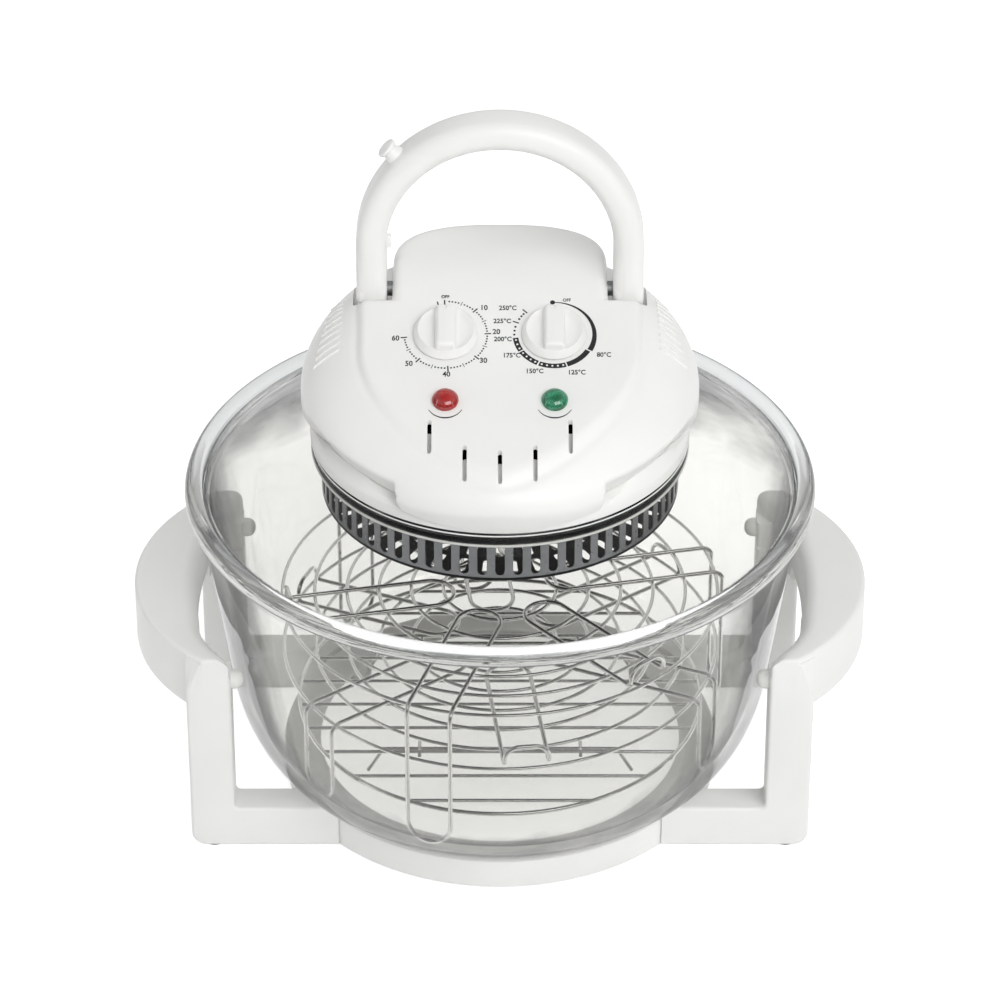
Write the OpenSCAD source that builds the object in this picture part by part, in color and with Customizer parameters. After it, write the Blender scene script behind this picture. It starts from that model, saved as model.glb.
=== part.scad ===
// Countertop halogen oven: a glass bowl in a white stand, wire racks inside,
// and a glass lid that carries the heating head with its dials and safety handle.
// Units are millimetres. Z is up, X is to the right and the dials face -Y.
// The origin is on the worktop, under the centre of the bowl.

/* [Glass bowl] */
// outer radius of the rolled rim
rim_r = 170; // [169:0.5:172]
// height of the rim's top above the worktop
rim_top = 190; // [189:0.5:191]
// thickness of the glass floor
floor_t = 5.2; // [4.5:0.1:5.5]

/* [Stand] */
// outer radius of the round base
base_r = 120; // [119:0.5:121]
// distance from the centre to the outer face of the posts
post_x = 168; // [167:0.5:169]
// width of a post, seen from the front
post_w = 24; // [22:0.5:25]
// distance from the centre to the middle plane of the front and rear posts
post_y = 73; // [72:0.5:74]
// depth of a post and of the bar it stands on
post_d = 20; // [18:0.5:20]
// height of the bars that join the posts to the base
bar_h = 25; // [23:0.5:26]
// radius of the handle's outer edge in plan
grip_r = 105; // [104:0.5:106]
// height of the handle from its underside to its top
grip_h = 34; // [30:1:36]

/* [Wire racks] */
// radius of the largest ring of the two round racks
rack_r = 120; // [118:0.5:121]
// distance between one ring and the next
rack_step = 17.6; // [17:0.1:18]
// height of the high rack's rings above the worktop
high_z = 115; // [112:1:118]
// height of the low rack's rings above the worktop
low_z = 80; // [78:1:82]
// height of the bottom grid's rim above the worktop
grid_z = 44; // [43:0.5:46]
// radius of the bottom grid's rim
grid_r = 111; // [109:0.5:112]
// radius of the ring wire
wire_r = 1; // [0.9:0.05:1.2]
// radius of the thicker wire of the legs
leg_wire_r = 1.2; // [1.1:0.05:1.4]

/* [Lid and head] */
// radius of the glass lid
lid_r = 159.5; // [159:0.1:159.7]
// thickness of the glass lid
lid_t = 4.5; // [4:0.1:4.6]
// outer radius of the slotted guard ring
guard_r = 96; // [95.5:0.1:96.2]
// number of slots in the guard ring
guard_slots = 64; // [56:1:68]
// half width of the head at its widest
head_r = 106; // [105:0.5:107]
// height of the head's dome above its widest point
head_rise = 64; // [62:1:66]
// slope of the control panel in degrees
panel_tilt = 22; // [21:0.5:23]
// half width of the raised panel
panel_w = 75.5; // [75:0.5:76]

/* [Carry handle] */
// radius of the arch's middle line
arch_r = 68.1; // [67.9:0.1:68.3]
// thickness of the arch in its own plane
arch_t = 16.2; // [15.8:0.1:16.4]
// depth of the arch from front to back
arch_d = 25; // [23:0.5:25]
// height of the arch's centre above the worktop
arch_z = 317; // [314:1:320]
// height of the pivot pins above the worktop
pivot_z = 289; // [288.5:0.5:289.5]
// distance of the pivot pins behind the centre
pivot_y = 28; // [27.5:0.5:28.5]

/* [Hidden] */
$fn = 96;
arch_round = 7;
foot_h = 1;
ring_top = 18.6;
bowl_floor = 18;
ledge_top = bowl_floor - 0.05;
corner_r = 108;
corner_z = 58;
wall_low = 146;
wall_top = 162;
lip_r = 160.2;
ledge_z = 181;
glass_t = 5.5;
tab_x = 82;
post_top = 97;
grip_z = 90;
block_top = 125;
grip_cx = 94.5;
nub_z = 106;
nub_tip = 137.2;
dome_r = 284;
dome_z = -48.9;
hole_r = 97;
skirt_r = 101.5;
skirt_z = 218.2;
seam_z = 228;
head_z = 245;
head_fall = 70;
shell_t = 3;
nose_w = 58;
nose_z = 220.4;
panel_y0 = -90;
panel_z0 = 251;
panel_front = -98;
panel_len = 82;
panel_bow = 0.73;
shoulder_drop = 4;
roof_w = 57;
roof_z = 300;
roof_wall = 2.5;
roof_y = 42;
roof_len = 38;
pocket_z = 275.8;
pocket_y = 15;
pocket_x = 78;
lamp_r = 66;
lamp_z = 197;
lamp_turn = 8;
knob_x = 28.5;
knob_v = 86.3;
lens_v = 43.7;
cam_x = -50.6;
plunger_tip = 6.15;

// repeats the children in the four corners of the stand
module four_corners() {
    for (sx = [-1, 1])
        for (sy = [-1, 1])
            scale_mirror(sx, sy) children();
}

module scale_mirror(sx, sy) {
    mirror([sx < 0 ? 1 : 0, 0, 0])
        mirror([0, sy < 0 ? 1 : 0, 0])
            children();
}

module tube(r_out, r_in, h) {
    difference() {
        cylinder(r = r_out, h = h);
        translate([0, 0, -1]) cylinder(r = r_in, h = h + 2);
    }
}

// a rectangle with round corners, made of squares and circles
module soft_rect(w, d, r) {
    square([w - 2 * r, d], center = true);
    square([w, d - 2 * r], center = true);
    for (sx = [-1, 1])
        for (sy = [-1, 1])
            translate([sx * (w / 2 - r), sy * (d / 2 - r)]) circle(r = r, $fn = 32);
}

// quarter of an ellipse from angle a0 to a1
function arc_points(cx, cy, rx, ry, a0, a1, n) =
    [for (i = [0:n]) let (a = a0 + (a1 - a0) * i / n) [cx + rx * cos(a), cy + ry * sin(a)]];

// ---- the stand

// the round base that the bowl's foot rests on
module base_ring() {
    color("white")
    difference() {
        union() {
            translate([0, 0, foot_h]) tube(base_r, base_r - 3.5, ring_top - foot_h);
            translate([0, 0, ledge_top - 3]) tube(base_r - 1, 100, 3);
            four_corners() translate([tab_x, post_y, 6.2]) cylinder(r = 6, h = 9.5);
        }
        four_corners() {
            translate([tab_x - 9, post_y - 7.6, 0]) cube([60, 15.2, 6.2]);
            translate([tab_x, post_y, 0]) cylinder(r = 1.5, h = 14, $fn = 24);
        }
    }
}

// outline of a post and its bar, seen from the front
module frame_outline() {
    corner = 8;
    difference() {
        union() {
            translate([post_x - post_w, foot_h]) square([post_w, post_top - foot_h]);
            translate([88, foot_h]) square([post_x - 88, bar_h]);
        }
        translate([post_x - corner, foot_h - 1]) square(corner + 1);
    }
    translate([post_x - corner, foot_h + corner]) circle(r = corner, $fn = 48);
}

// two posts on two bars, with tabs that reach under the round base
module side_frame() {
    difference() {
        for (sy = [-1, 1]) {
            difference() {
                translate([0, sy * post_y + post_d / 2, 0])
                    rotate([90, 0, 0]) linear_extrude(post_d) frame_outline();
                cylinder(r = base_r + 0.1, h = 60);
                translate([0, 0, bowl_floor + 1]) cylinder(r = 134, h = 24);
            }
            translate([tab_x - 8, sy * post_y - 7, 3]) cube([34, 14, 3]);
        }
        for (sy = [-1, 1]) {
            translate([tab_x, sy * post_y, 0]) cylinder(r = 1.7, h = 10, $fn = 24);
            translate([post_x - 12, sy * post_y, -1]) cylinder(r = 8.05, h = 3.5);
        }
    }
}

module side_frame_left() {
    color("white") mirror([1, 0, 0]) side_frame();
}

module side_frame_right() {
    color("white") side_frame();
}

// the space between the handle and the bowl, in plan
module grip_gap() {
    intersection() {
        translate([-65, 0]) circle(r = 230, $fn = 180);
        translate([60, -42]) square([120, 84]);
    }
    for (sy = [-1, 1]) translate([139.5, sy * 42]) circle(r = 22, $fn = 64);
    translate([60, -64]) square([79.5, 128]);
}

// the crescent handle with the two blocks that sit on the posts
module handle() {
    difference() {
        union() {
            translate([0, 0, grip_z]) linear_extrude(grip_h) difference() {
                translate([grip_cx, 0]) circle(r = grip_r, $fn = 128);
                grip_gap();
                for (sy = [-1, 1])
                    translate([-50, sy * 90 - 30 + sy * 3]) square([300, 60]);
                translate([-50, -200]) square([post_x - post_w + 50, 400]);
            }
            translate([0, 0, post_top]) linear_extrude(block_top - post_top) intersection() {
                translate([grip_cx, 0]) circle(r = grip_r, $fn = 128);
                for (sy = [-1, 1])
                    translate([post_x - post_w, sy * post_y - post_d / 2])
                        square([post_w, post_d]);
            }
        }
        for (sy = [-1, 1])
            translate([post_x - post_w - 1, sy * post_y, nub_z])
                rotate([0, 90, 0]) cylinder(r = 2.05, h = 7, $fn = 24);
    }
}

module handle_left() {
    color("white") mirror([1, 0, 0]) handle();
}

module handle_right() {
    color("white") handle();
}

// four round buttons that keep the bowl off the posts
module bumper_nubs() {
    color("white")
    four_corners() translate([0, post_y, nub_z]) rotate([0, 90, 0]) {
        translate([0, 0, nub_tip]) cylinder(r = 5, h = post_x - post_w - nub_tip, $fn = 48);
        translate([0, 0, post_x - post_w - 1]) cylinder(r = 2, h = 6.5, $fn = 24);
    }
}

module rubber_feet() {
    color("dimgray")
    four_corners() translate([post_x - 12, post_y, 0]) cylinder(r = 8, h = 2.4, $fn = 48);
}

module frame_screws() {
    color("silver")
    four_corners() translate([tab_x, post_y, 1.2]) {
        cylinder(r = 3.5, h = 1.8, $fn = 32);
        cylinder(r = 1.5, h = 12, $fn = 24);
    }
}

// ---- bowl and racks

// outline of the bowl: floor, round corner, leaning wall, ledge for the lid, rolled rim
function bowl_outline() = concat(
    [[0, bowl_floor]],
    arc_points(corner_r, corner_z, wall_low - corner_r, corner_z - bowl_floor, 270, 360, 10),
    [[wall_top, rim_top - 12.5], [rim_r - 5.5, rim_top - 11]],
    arc_points(rim_r - 5, rim_top - 5, 5, 5, 300, 450, 8),
    [[lip_r + 1.5, rim_top], [lip_r, rim_top - 1.5], [lip_r, ledge_z],
        [wall_top - glass_t, ledge_z], [wall_top - glass_t, ledge_z - 4]],
    arc_points(corner_r - 2, corner_z + 2, wall_low - glass_t - corner_r + 2,
        corner_z + 2 - bowl_floor - floor_t, 360, 270, 10),
    [[0, bowl_floor + floor_t]]);

module glass_bowl() {
    color("lightcyan", 0.35) rotate_extrude() polygon(bowl_outline());
}

module wire_ring(r, z, wr) {
    translate([0, 0, z]) rotate_extrude() translate([r, 0]) circle(r = wr, $fn = 24);
}

// a bent piece of wire in the XY plane, starting at [r, 0]
module bend(r, wr, a) {
    rotate_extrude(angle = a, $fn = 48) translate([r, 0]) circle(r = wr, $fn = 24);
}

// straight wire along +X
module wire_x(len, wr) {
    rotate([0, 90, 0]) cylinder(r = wr, h = len, $fn = 24);
}

hair_w = 12;
hair_in = 38;
lift_out = 117;
lift_turn = 3;
arch_turn = 8;
leg_out = 122.5;
turn_r = 6;
weld_gap = 0.02;

// a hairpin lying flat: a half turn near the centre and two wires going out to r_out
module hairpin(z, r_out) {
    translate([hair_in, 0, z]) rotate([0, 0, 90]) bend(hair_w, leg_wire_r, 180);
    for (sy = [-1, 1])
        translate([hair_in, sy * hair_w, z]) wire_x(r_out - hair_in, leg_wire_r);
}

// a hairpin whose outer end turns down, with a loop welded under it as a leg
module leg_hairpin(z, foot_z) {
    hairpin(z, leg_out - turn_r);
    for (sy = [-1, 1]) {
        translate([leg_out - turn_r, sy * hair_w, z - turn_r])
            rotate([90, 0, 0]) bend(turn_r, leg_wire_r, 90);
        translate([leg_out, sy * hair_w, foot_z + hair_w])
            cylinder(r = leg_wire_r, h = z - turn_r - weld_gap - foot_z - hair_w, $fn = 24);
    }
    translate([leg_out, 0, foot_z + hair_w])
        rotate([0, 90, 0]) rotate([0, 0, -90]) bend(hair_w, leg_wire_r, 180);
}

// a hairpin with a low arch welded to its outer end for lifting the rack
module lift_hairpin(z) {
    hairpin(z, lift_out - lift_turn);
    translate([lift_out, 0, z + lift_turn]) {
        for (m = [0, 1]) mirror([0, m, 0]) {
            translate([weld_gap - lift_turn, hair_w, 0])
                rotate([90, 0, 0]) rotate([0, 0, -90]) bend(lift_turn, leg_wire_r, 90);
            translate([weld_gap, hair_w - arch_turn, 0])
                rotate([90, 0, 90]) bend(arch_turn, leg_wire_r, 90);
        }
        translate([weld_gap, arch_turn - hair_w, arch_turn]) rotate([-90, 0, 0])
            cylinder(r = leg_wire_r, h = 2 * (hair_w - arch_turn), $fn = 24);
    }
}

// six rings, three leg hairpins and three lifting hairpins
module round_rack(z, leg_angle, foot_z) {
    hz = z + wire_r + leg_wire_r - 0.5;
    for (i = [0:5]) wire_ring(rack_r - wire_r - i * rack_step, z, wire_r);
    for (i = [0:2]) {
        rotate([0, 0, leg_angle + 120 * i]) leg_hairpin(hz, foot_z);
        rotate([0, 0, leg_angle + 60 + 120 * i]) lift_hairpin(hz);
    }
}

rack_foot_z = 30.1;

module low_rack() {
    color("silver") round_rack(low_z, 97, rack_foot_z);
}

module high_rack() {
    color("silver") round_rack(high_z, 12, rack_foot_z);
}

// a round rim with straight bars across it, on two bent wire legs
module bottom_grid() {
    color("silver") {
        wire_ring(grid_r, grid_z, leg_wire_r);
        for (y = [-99:22:99]) {
            half = sqrt(grid_r * grid_r - y * y);
            translate([-half, y, grid_z]) wire_x(2 * half, wire_r);
        }
        for (sy = [-1, 1]) translate([0, sy * 50, 0]) {
            leg_z = grid_z - wire_r - leg_wire_r + 0.4;
            translate([-64, 0, leg_z]) wire_x(128, leg_wire_r);
            for (sx = [-1, 1]) {
                translate([sx * 64, 0, leg_z]) sphere(r = leg_wire_r, $fn = 24);
                translate([sx * 64, 0, leg_z]) rotate([0, sx * 150, 0])
                    cylinder(r = leg_wire_r, h = 16.5, $fn = 24);
            }
            for (x = [-44, 44])
                translate([x, -6.5, leg_z + 0.2]) rotate([-90, 0, 0])
                    cylinder(r = wire_r, h = 13, $fn = 24);
        }
    }
}

// ---- lid and heating head

// shallow glass dome that rests on the bowl's ledge
module glass_lid() {
    color("lightcyan", 0.35)
    difference() {
        intersection() {
            translate([0, 0, dome_z]) sphere(r = dome_r, $fn = 180);
            translate([0, 0, ledge_z + 0.1]) cylinder(r = lid_r, h = 60);
        }
        translate([0, 0, dome_z]) sphere(r = dome_r - lid_t, $fn = 180);
        translate([0, 0, 150]) cylinder(r = hole_r, h = 100);
    }
}

// silicone rings above and below the edge of the hole in the lid
module lid_gaskets() {
    color("dimgray") {
        difference() {
            translate([0, 0, 212]) tube(skirt_r - 0.7, hole_r + 0.6, skirt_z - 212);
            translate([0, 0, dome_z]) sphere(r = dome_r, $fn = 180);
        }
        intersection() {
            translate([0, 0, 210.6]) tube(skirt_r - 0.7, hole_r + 0.2, 6);
            translate([0, 0, dome_z]) sphere(r = dome_r - lid_t, $fn = 180);
        }
    }
}

// slotted steel ring around lamp and fan, with a flange that clamps the lid
module guard_ring() {
    color("gray")
    difference() {
        union() {
            translate([0, 0, 186.8]) tube(guard_r, guard_r - 1, 23.8);
            translate([0, 0, 209.4]) tube(skirt_r - 0.5, guard_r - 1, 1.2);
        }
        for (i = [0:guard_slots - 1])
            rotate([0, 0, i * 360 / guard_slots])
                translate([guard_r - 3, -2.5, 188.8]) cube([6, 5, 19]);
    }
}

// one row of radial slots in the guard's floor
module slot_row(n, r0, r1, w) {
    for (i = [0:n - 1]) rotate((i + 0.5) * 360 / n) {
        translate([r0, -w / 2]) square([r1 - r0, w]);
        for (r = [r0, r1]) translate([r, 0]) circle(d = w, $fn = 24);
    }
}

module guard_grille() {
    color("silver")
    translate([0, 0, 185.6]) linear_extrude(1.2) difference() {
        circle(r = guard_r);
        slot_row(12, 17, 27, 4);
        slot_row(20, 36, 50, 4.5);
        slot_row(30, 59, 73, 5);
        slot_row(40, 80, 89, 5);
    }
}

module reflector_plate() {
    color("silver")
    difference() {
        rotate_extrude() polygon([[6, 205], [94.2, 205], [94.2, 210.8], [96.4, 210.8],
            [96.4, 212], [93, 212], [93, 206], [6, 206]]);
        lamp_ends() translate([0, 0, 200]) cylinder(r = 7.2, h = 10, $fn = 48);
        for (a = [0:90:270]) rotate([0, 0, a])
            translate([86, 0, 200]) cylinder(r = 1.7, h = 10, $fn = 24);
    }
}

// repeats the children at the two upturned ends of the lamp
module lamp_ends() {
    for (s = [-1, 1])
        rotate([0, 0, 90 - s * 30]) translate([lamp_r, s * lamp_turn, 0]) children();
}

// ring-shaped quartz lamp, open at the back where its ends turn up
module halogen_tube() {
    color("whitesmoke", 0.6)
    translate([0, 0, lamp_z]) {
        rotate([0, 0, 120]) rotate_extrude(angle = 300)
            translate([lamp_r, 0]) circle(r = 5, $fn = 32);
        for (s = [-1, 1]) rotate([0, 0, 90 - s * 30]) translate([lamp_r, 0, lamp_turn])
            rotate([0, 90, 0]) rotate([0, 0, s * 45 - 45])
                rotate_extrude(angle = 90) translate([lamp_turn, 0]) circle(r = 5, $fn = 32);
    }
}

module lamp_end_caps() {
    color("ivory")
    lamp_ends() translate([0, 0, lamp_z + lamp_turn]) {
        cylinder(r = 7, h = 7, $fn = 48);
        translate([0, 0, 7]) cylinder(r = 2, h = 4, $fn = 24);
    }
}

// spring clips that hold the lamp under the reflector
module lamp_clips() {
    color("silver")
    for (a = [180, 270, 360]) rotate([0, 0, a]) {
        difference() {
            translate([lamp_r, 3, lamp_z]) rotate([90, 0, 0]) cylinder(r = 6, h = 6, $fn = 48);
            translate([lamp_r, 4, lamp_z]) rotate([90, 0, 0])
                cylinder(r = 5.2, h = 8, $fn = 48);
            translate([lamp_r - 8, -4, lamp_z - 9]) cube([16, 8, 5]);
        }
        translate([lamp_r - 0.6, -3, lamp_z + 5.8]) cube([1.2, 6, 2.2]);
    }
}

module insulation_pad() {
    color("beige") translate([0, 0, 208]) tube(56, 12, 8);
}

module spacers() {
    color("silver")
    for (a = [0:90:270]) rotate([0, 0, a])
        translate([86, 0, 206]) difference() {
            cylinder(r = 4, h = 13.2, $fn = 32);
            translate([0, 0, -1]) cylinder(r = 1.7, h = 16, $fn = 24);
        }
}

module plate_screws() {
    color("silver")
    for (a = [0:90:270]) rotate([0, 0, a]) translate([86, 0, 0]) {
        translate([0, 0, 202]) cylinder(r = 1.6, h = 19, $fn = 24);
        translate([0, 0, 220.7]) cylinder(r = 3.2, h = 2, $fn = 32);
        translate([0, 0, 202.6]) cylinder(r = 3.2, h = 2.3, $fn = 6);
    }
}

// steel plate that carries the motor and closes the housing from below
module mounting_plate() {
    color("silver")
    difference() {
        translate([0, 0, 219.2]) tube(96.5, 8, 1.5);
        for (a = [0:90:270]) rotate([0, 0, a])
            translate([86, 0, 210]) cylinder(r = 1.7, h = 20, $fn = 24);
        for (a = [45:90:315]) rotate([0, 0, a]) {
            translate([88, 0, 210]) cylinder(r = 1.7, h = 20, $fn = 24);
            for (r = [24:9:60])
                translate([r, 0, 210]) cylinder(r = 2.5, h = 20, $fn = 24);
        }
        lamp_ends() translate([0, 0, 210]) cylinder(r = 4, h = 20, $fn = 32);
    }
}

// lower ring of the housing, notched at the front for the nose of the shell
module skirt() {
    color("white")
    difference() {
        rotate_extrude() polygon([[98, skirt_z], [skirt_r, skirt_z], [skirt_r, 225.5],
            [99.5, seam_z - 0.05], [94, seam_z - 0.05], [94, 226.2], [98, 225]]);
        translate([-nose_w - 0.2, -120, nose_z - 0.2]) cube([2 * nose_w + 0.4, 60, 20]);
    }
}

// plan of the raised panel: blunt nose, sides growing parallel
function panel_edge(w, front, len) =
    [for (i = [-20:20]) let (x = w * sin(i * 4.5))
        [x, front + len * pow(1 - sqrt(max(0, 1 - pow(x / w, 2))), panel_bow)]];

module panel_plan(in) {
    w = panel_w - in;
    polygon(concat(panel_edge(w, panel_front + in, panel_len),
        [[w, pocket_y - 0.5 - in], [-w, pocket_y - 0.5 - in]]));
}

// plan of the roof behind the panel
module roof_plan(in) {
    w = roof_w - in;
    polygon(concat([[w, -20], [w, roof_y]],
        [for (i = [0:24]) let (a = i * 7.5, c = cos(a), s = sin(a))
            [w * sign(c) * pow(abs(c), 0.77), roof_y + (roof_len - in) * pow(s, 0.77)]],
        [[-w, roof_y], [-w, -20]]));
}

// half space below the control panel, lowered by d along its normal
module under_panel(d) {
    translate([0, panel_y0, panel_z0]) rotate([panel_tilt, 0, 0])
        translate([-200, -150, -300 - d]) cube([400, 500, 300]);
}

// body of revolution that the head is cut from
module head_body(in) {
    rotate_extrude() polygon(concat(
        [[0, seam_z - in]],
        arc_points(0, head_z, head_r - in, head_fall, asin((seam_z - head_z) / head_fall), 0, 5),
        arc_points(0, head_z, head_r - in, head_rise - in, 5, 90, 16)));
}

// outside (in = 0) or inside (in > 0) of the head's upper shell
module head_form(in) {
    difference() {
        union() {
            intersection() {
                head_body(in);
                under_panel(shoulder_drop + in);
            }
            intersection() {
                union() {
                    translate([0, 0, seam_z - in]) linear_extrude(90) panel_plan(in);
                    translate([0, 0, seam_z - in]) linear_extrude(90) roof_plan(in);
                }
                under_panel(in);
                translate([-150, -150, 0]) cube([300, 300, roof_z - in]);
            }
        }
        for (sx = [-1, 1]) mirror([sx < 0 ? 1 : 0, 0, 0])
            translate([roof_w - in, pocket_y - in, pocket_z - in])
                cube([pocket_x - roof_w + 2 * in, 140, 60]);
    }
}

// places the children on the control panel: X across, Y up the slope, Z out of it
module on_panel(x, v) {
    translate([0, panel_y0, panel_z0]) rotate([panel_tilt, 0, 0])
        translate([x, v, 0]) children();
}

// openings in the upper shell
module head_openings() {
    for (sx = [-1, 1]) {
        on_panel(sx * knob_x, knob_v) translate([0, 0, -8]) cylinder(r = 4.2, h = 16, $fn = 32);
        on_panel(sx * knob_x, lens_v) translate([0, 0, -8]) cylinder(r = 5.6, h = 16, $fn = 32);
    }
    for (i = [-2:2])
        translate([i * 18.3 - 1, [-96, -93, -78][abs(i)], 238]) cube([2, 17, 30]);
    for (sx = [-1, 1], i = [0:8])
        mirror([sx < 0 ? 1 : 0, 0, 0])
            translate([84 - i * 0.4, -4 + 4.5 * i, 262]) rotate([0, 0, 28])
                rotate([0, 40, 0]) translate([-2, -1, 0]) cube([22, 2, 24]);
    for (sx = [-1, 1])
        translate([sx * roof_w, pivot_y, pivot_z]) rotate([0, 90, 0])
            translate([0, 0, -6]) cylinder(r = 4.05, h = 12, $fn = 48);
    translate([0, 85, 240]) rotate([-90, 0, 0]) cylinder(r = 6.6, h = 30, $fn = 48);
}

module upper_housing() {
    color("white") {
        difference() {
            head_form(0);
            head_form(shell_t);
            translate([0, 0, seam_z - 10]) cylinder(r = 96.5, h = 10.2);
            head_openings();
        }
        intersection() {
            translate([0, 0, nose_z]) tube(skirt_r, 98.2, seam_z - nose_z + 0.6);
            translate([-nose_w, -130, nose_z]) cube([2 * nose_w, 60, 20]);
        }
        for (a = [45:90:315]) rotate([0, 0, a]) difference() {
            union() {
                translate([88, 0, 220.8]) cylinder(r = 4.5, h = 24, $fn = 32);
                translate([88, -1.5, seam_z + 1]) cube([14, 3, 15]);
            }
            translate([88, 0, 220]) cylinder(r = 1.5, h = 16, $fn = 24);
        }
        // shelf for the safety switch, hung from the floor of the left handle pocket
        translate([-roof_w + 0.5, 18, 264.9]) cube([13.5, 22, 3]);
        translate([-roof_w + 0.5, 18, 265]) cube([1.8, 22, 8.5]);
    }
}

module housing_screws() {
    color("silver")
    for (a = [45:90:315]) rotate([0, 0, a]) translate([88, 0, 217.2]) {
        cylinder(r = 3.4, h = 2, $fn = 32);
        cylinder(r = 1.5, h = 16, $fn = 24);
    }
}

// rubber bush where the supply cord enters at the back
module cord_bush() {
    color("dimgray")
    translate([0, 92, 240]) rotate([-90, 0, 0]) difference() {
        union() {
            cylinder(r = 6.55, h = 20, $fn = 48);
            translate([0, 0, 15]) cylinder(r = 9, h = 5, $fn = 48);
        }
        translate([0, 0, -1]) cylinder(r = 3.6, h = 22, $fn = 32);
    }
}

// ---- motor and fans

// folded strap that holds the motor above the cooling fan
module motor_frame() {
    color("silver")
    difference() {
        union() {
            translate([-66, -12, 231]) cube([132, 24, 2]);
            for (sx = [-1, 1]) {
                translate([sx * 65 - 1, -12, 220.7]) cube([2, 24, 11]);
                translate([sx * 69 - 5, -12, 220.7]) cube([10, 24, 1.5]);
            }
        }
        translate([0, 0, 225]) cylinder(r = 2.55, h = 10, $fn = 32);
    }
}

// laminated core with the bore for the rotor and a window for the coil
module motor_core() {
    color("gray")
    translate([0, 0, 233]) difference() {
        translate([-30, -20, 0]) cube([60, 52, 14]);
        translate([0, 0, -1]) cylinder(r = 14.2, h = 16);
        translate([-17, 17, -1]) cube([34, 7, 16]);
    }
}

module motor_coil() {
    color("peru")
    difference() {
        translate([-15, 17.6, 234.5 - 7]) cube([30, 20.4, 26]);
        translate([-20, 23.8, 232.8]) cube([40, 8.4, 14.4]);
        translate([-20, 10, 220]) cube([40, 30, 13.05 - 2]);
    }
}

// strap over the core with the upper bearing
module motor_bracket() {
    color("silver")
    difference() {
        union() {
            translate([-28, -6, 249.5]) cube([56, 12, 2]);
            for (sx = [-1, 1]) translate([sx * 25 - 3, -6, 247]) cube([6, 12, 3]);
            translate([0, 0, 248.5]) cylinder(r = 5, h = 4.5, $fn = 32);
        }
        translate([0, 0, 240]) cylinder(r = 2.55, h = 20, $fn = 32);
    }
}

// rotor core on its long shaft
module rotor() {
    color("silver") {
        translate([0, 0, 234]) cylinder(r = 13.8, h = 12);
        translate([0, 0, 187.6]) cylinder(r = 2.5, h = 67, $fn = 32);
    }
}

module circulation_fan() {
    color("lightgray")
    difference() {
        union() {
            translate([0, 0, 191]) cylinder(r = 8, h = 10, $fn = 48);
            translate([0, 0, 200]) cylinder(r = 50, h = 1.2);
            for (i = [0:9]) rotate([0, 0, i * 36])
                translate([7, -0.6, 191]) cube([45, 1.2, 9.5]);
        }
        translate([0, 0, 180]) cylinder(r = 2.51, h = 40, $fn = 32);
    }
}

module fan_nut() {
    color("silver")
    translate([0, 0, 188]) difference() {
        cylinder(r = 4.6, h = 3, $fn = 6);
        translate([0, 0, -1]) cylinder(r = 2.51, h = 6, $fn = 32);
    }
}

module cooling_fan() {
    color("lightgray")
    difference() {
        union() {
            translate([0, 0, 222.4]) cylinder(r = 7, h = 7.4, $fn = 48);
            translate([0, 0, 222.4]) cylinder(r = 54, h = 1.2);
            for (i = [0:11]) rotate([0, 0, i * 30])
                translate([20, -0.6, 223]) cube([36, 1.2, 6.8]);
        }
        translate([0, 0, 200]) cylinder(r = 2.51, h = 40, $fn = 32);
    }
}

module terminal_block() {
    color("ivory")
    translate([-48, 54, 220.7]) difference() {
        cube([28, 14, 11]);
        for (i = [0:2]) translate([5 + 9 * i, 7, 3]) cylinder(r = 2.4, h = 9, $fn = 24);
    }
}

// ---- controls

module timer_unit() {
    color("lightgray")
    on_panel(-knob_x, knob_v) difference() {
        union() {
            translate([-18, -18, -25]) cube([36, 36, 19]);
            translate([0, 0, -6]) cylinder(r = 7, h = 2.8, $fn = 32);
        }
        translate([0, 0, -22]) cylinder(r = 3.05, h = 30, $fn = 32);
    }
}

module thermostat_unit() {
    color("beige")
    on_panel(knob_x, knob_v) difference() {
        union() {
            translate([-15, -12, -23]) cube([30, 24, 17]);
            translate([0, 0, -6]) cylinder(r = 7, h = 2.8, $fn = 32);
        }
        translate([0, 0, -20]) cylinder(r = 3.05, h = 30, $fn = 32);
    }
}

module control_shaft() {
    translate([0, 0, -19]) cylinder(r = 3, h = 26.5, $fn = 32);
}

module timer_shaft() {
    color("silver") on_panel(-knob_x, knob_v) control_shaft();
}

module thermostat_shaft() {
    color("silver") on_panel(knob_x, knob_v) control_shaft();
}

// round knob with a raised bar for the fingers
module knob() {
    difference() {
        union() {
            translate([0, 0, 0.6]) cylinder(r = 17, h = 1.4, $fn = 96);
            translate([0, 0, 2]) cylinder(r1 = 16.6, r2 = 15, h = 3.6, $fn = 96);
            intersection() {
                cylinder(r = 15, h = 10, $fn = 96);
                translate([-5.5, -20, 3]) cube([11, 40, 7]);
            }
        }
        translate([0, 0, -1]) cylinder(r = 3.05, h = 8.7, $fn = 32);
    }
}

module timer_knob() {
    color("white") on_panel(-knob_x, knob_v) knob();
}

module temperature_knob() {
    color("white") on_panel(knob_x, knob_v) knob();
}

module lens() {
    translate([0, 0, -9]) difference() {
        cylinder(r = 5.5, h = 10, $fn = 48);
        translate([0, 0, -1]) cylinder(r = 4, h = 8, $fn = 32);
    }
    translate([0, 0, 0.02]) cylinder(r = 6.5, h = 1.4, $fn = 48);
    intersection() {
        translate([0, 0, -2.2]) sphere(r = 7, $fn = 48);
        translate([-10, -10, 1]) cube([20, 20, 10]);
    }
}

module red_lens() {
    color("darkred") on_panel(-knob_x, lens_v) lens();
}

module green_lens() {
    color("seagreen") on_panel(knob_x, lens_v) lens();
}

module neon_lamps() {
    color("orange")
    for (sx = [-1, 1]) on_panel(sx * knob_x, lens_v)
        translate([0, 0, -16]) cylinder(r = 3, h = 13, $fn = 24);
}

// ---- safety switch and carry handle

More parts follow.
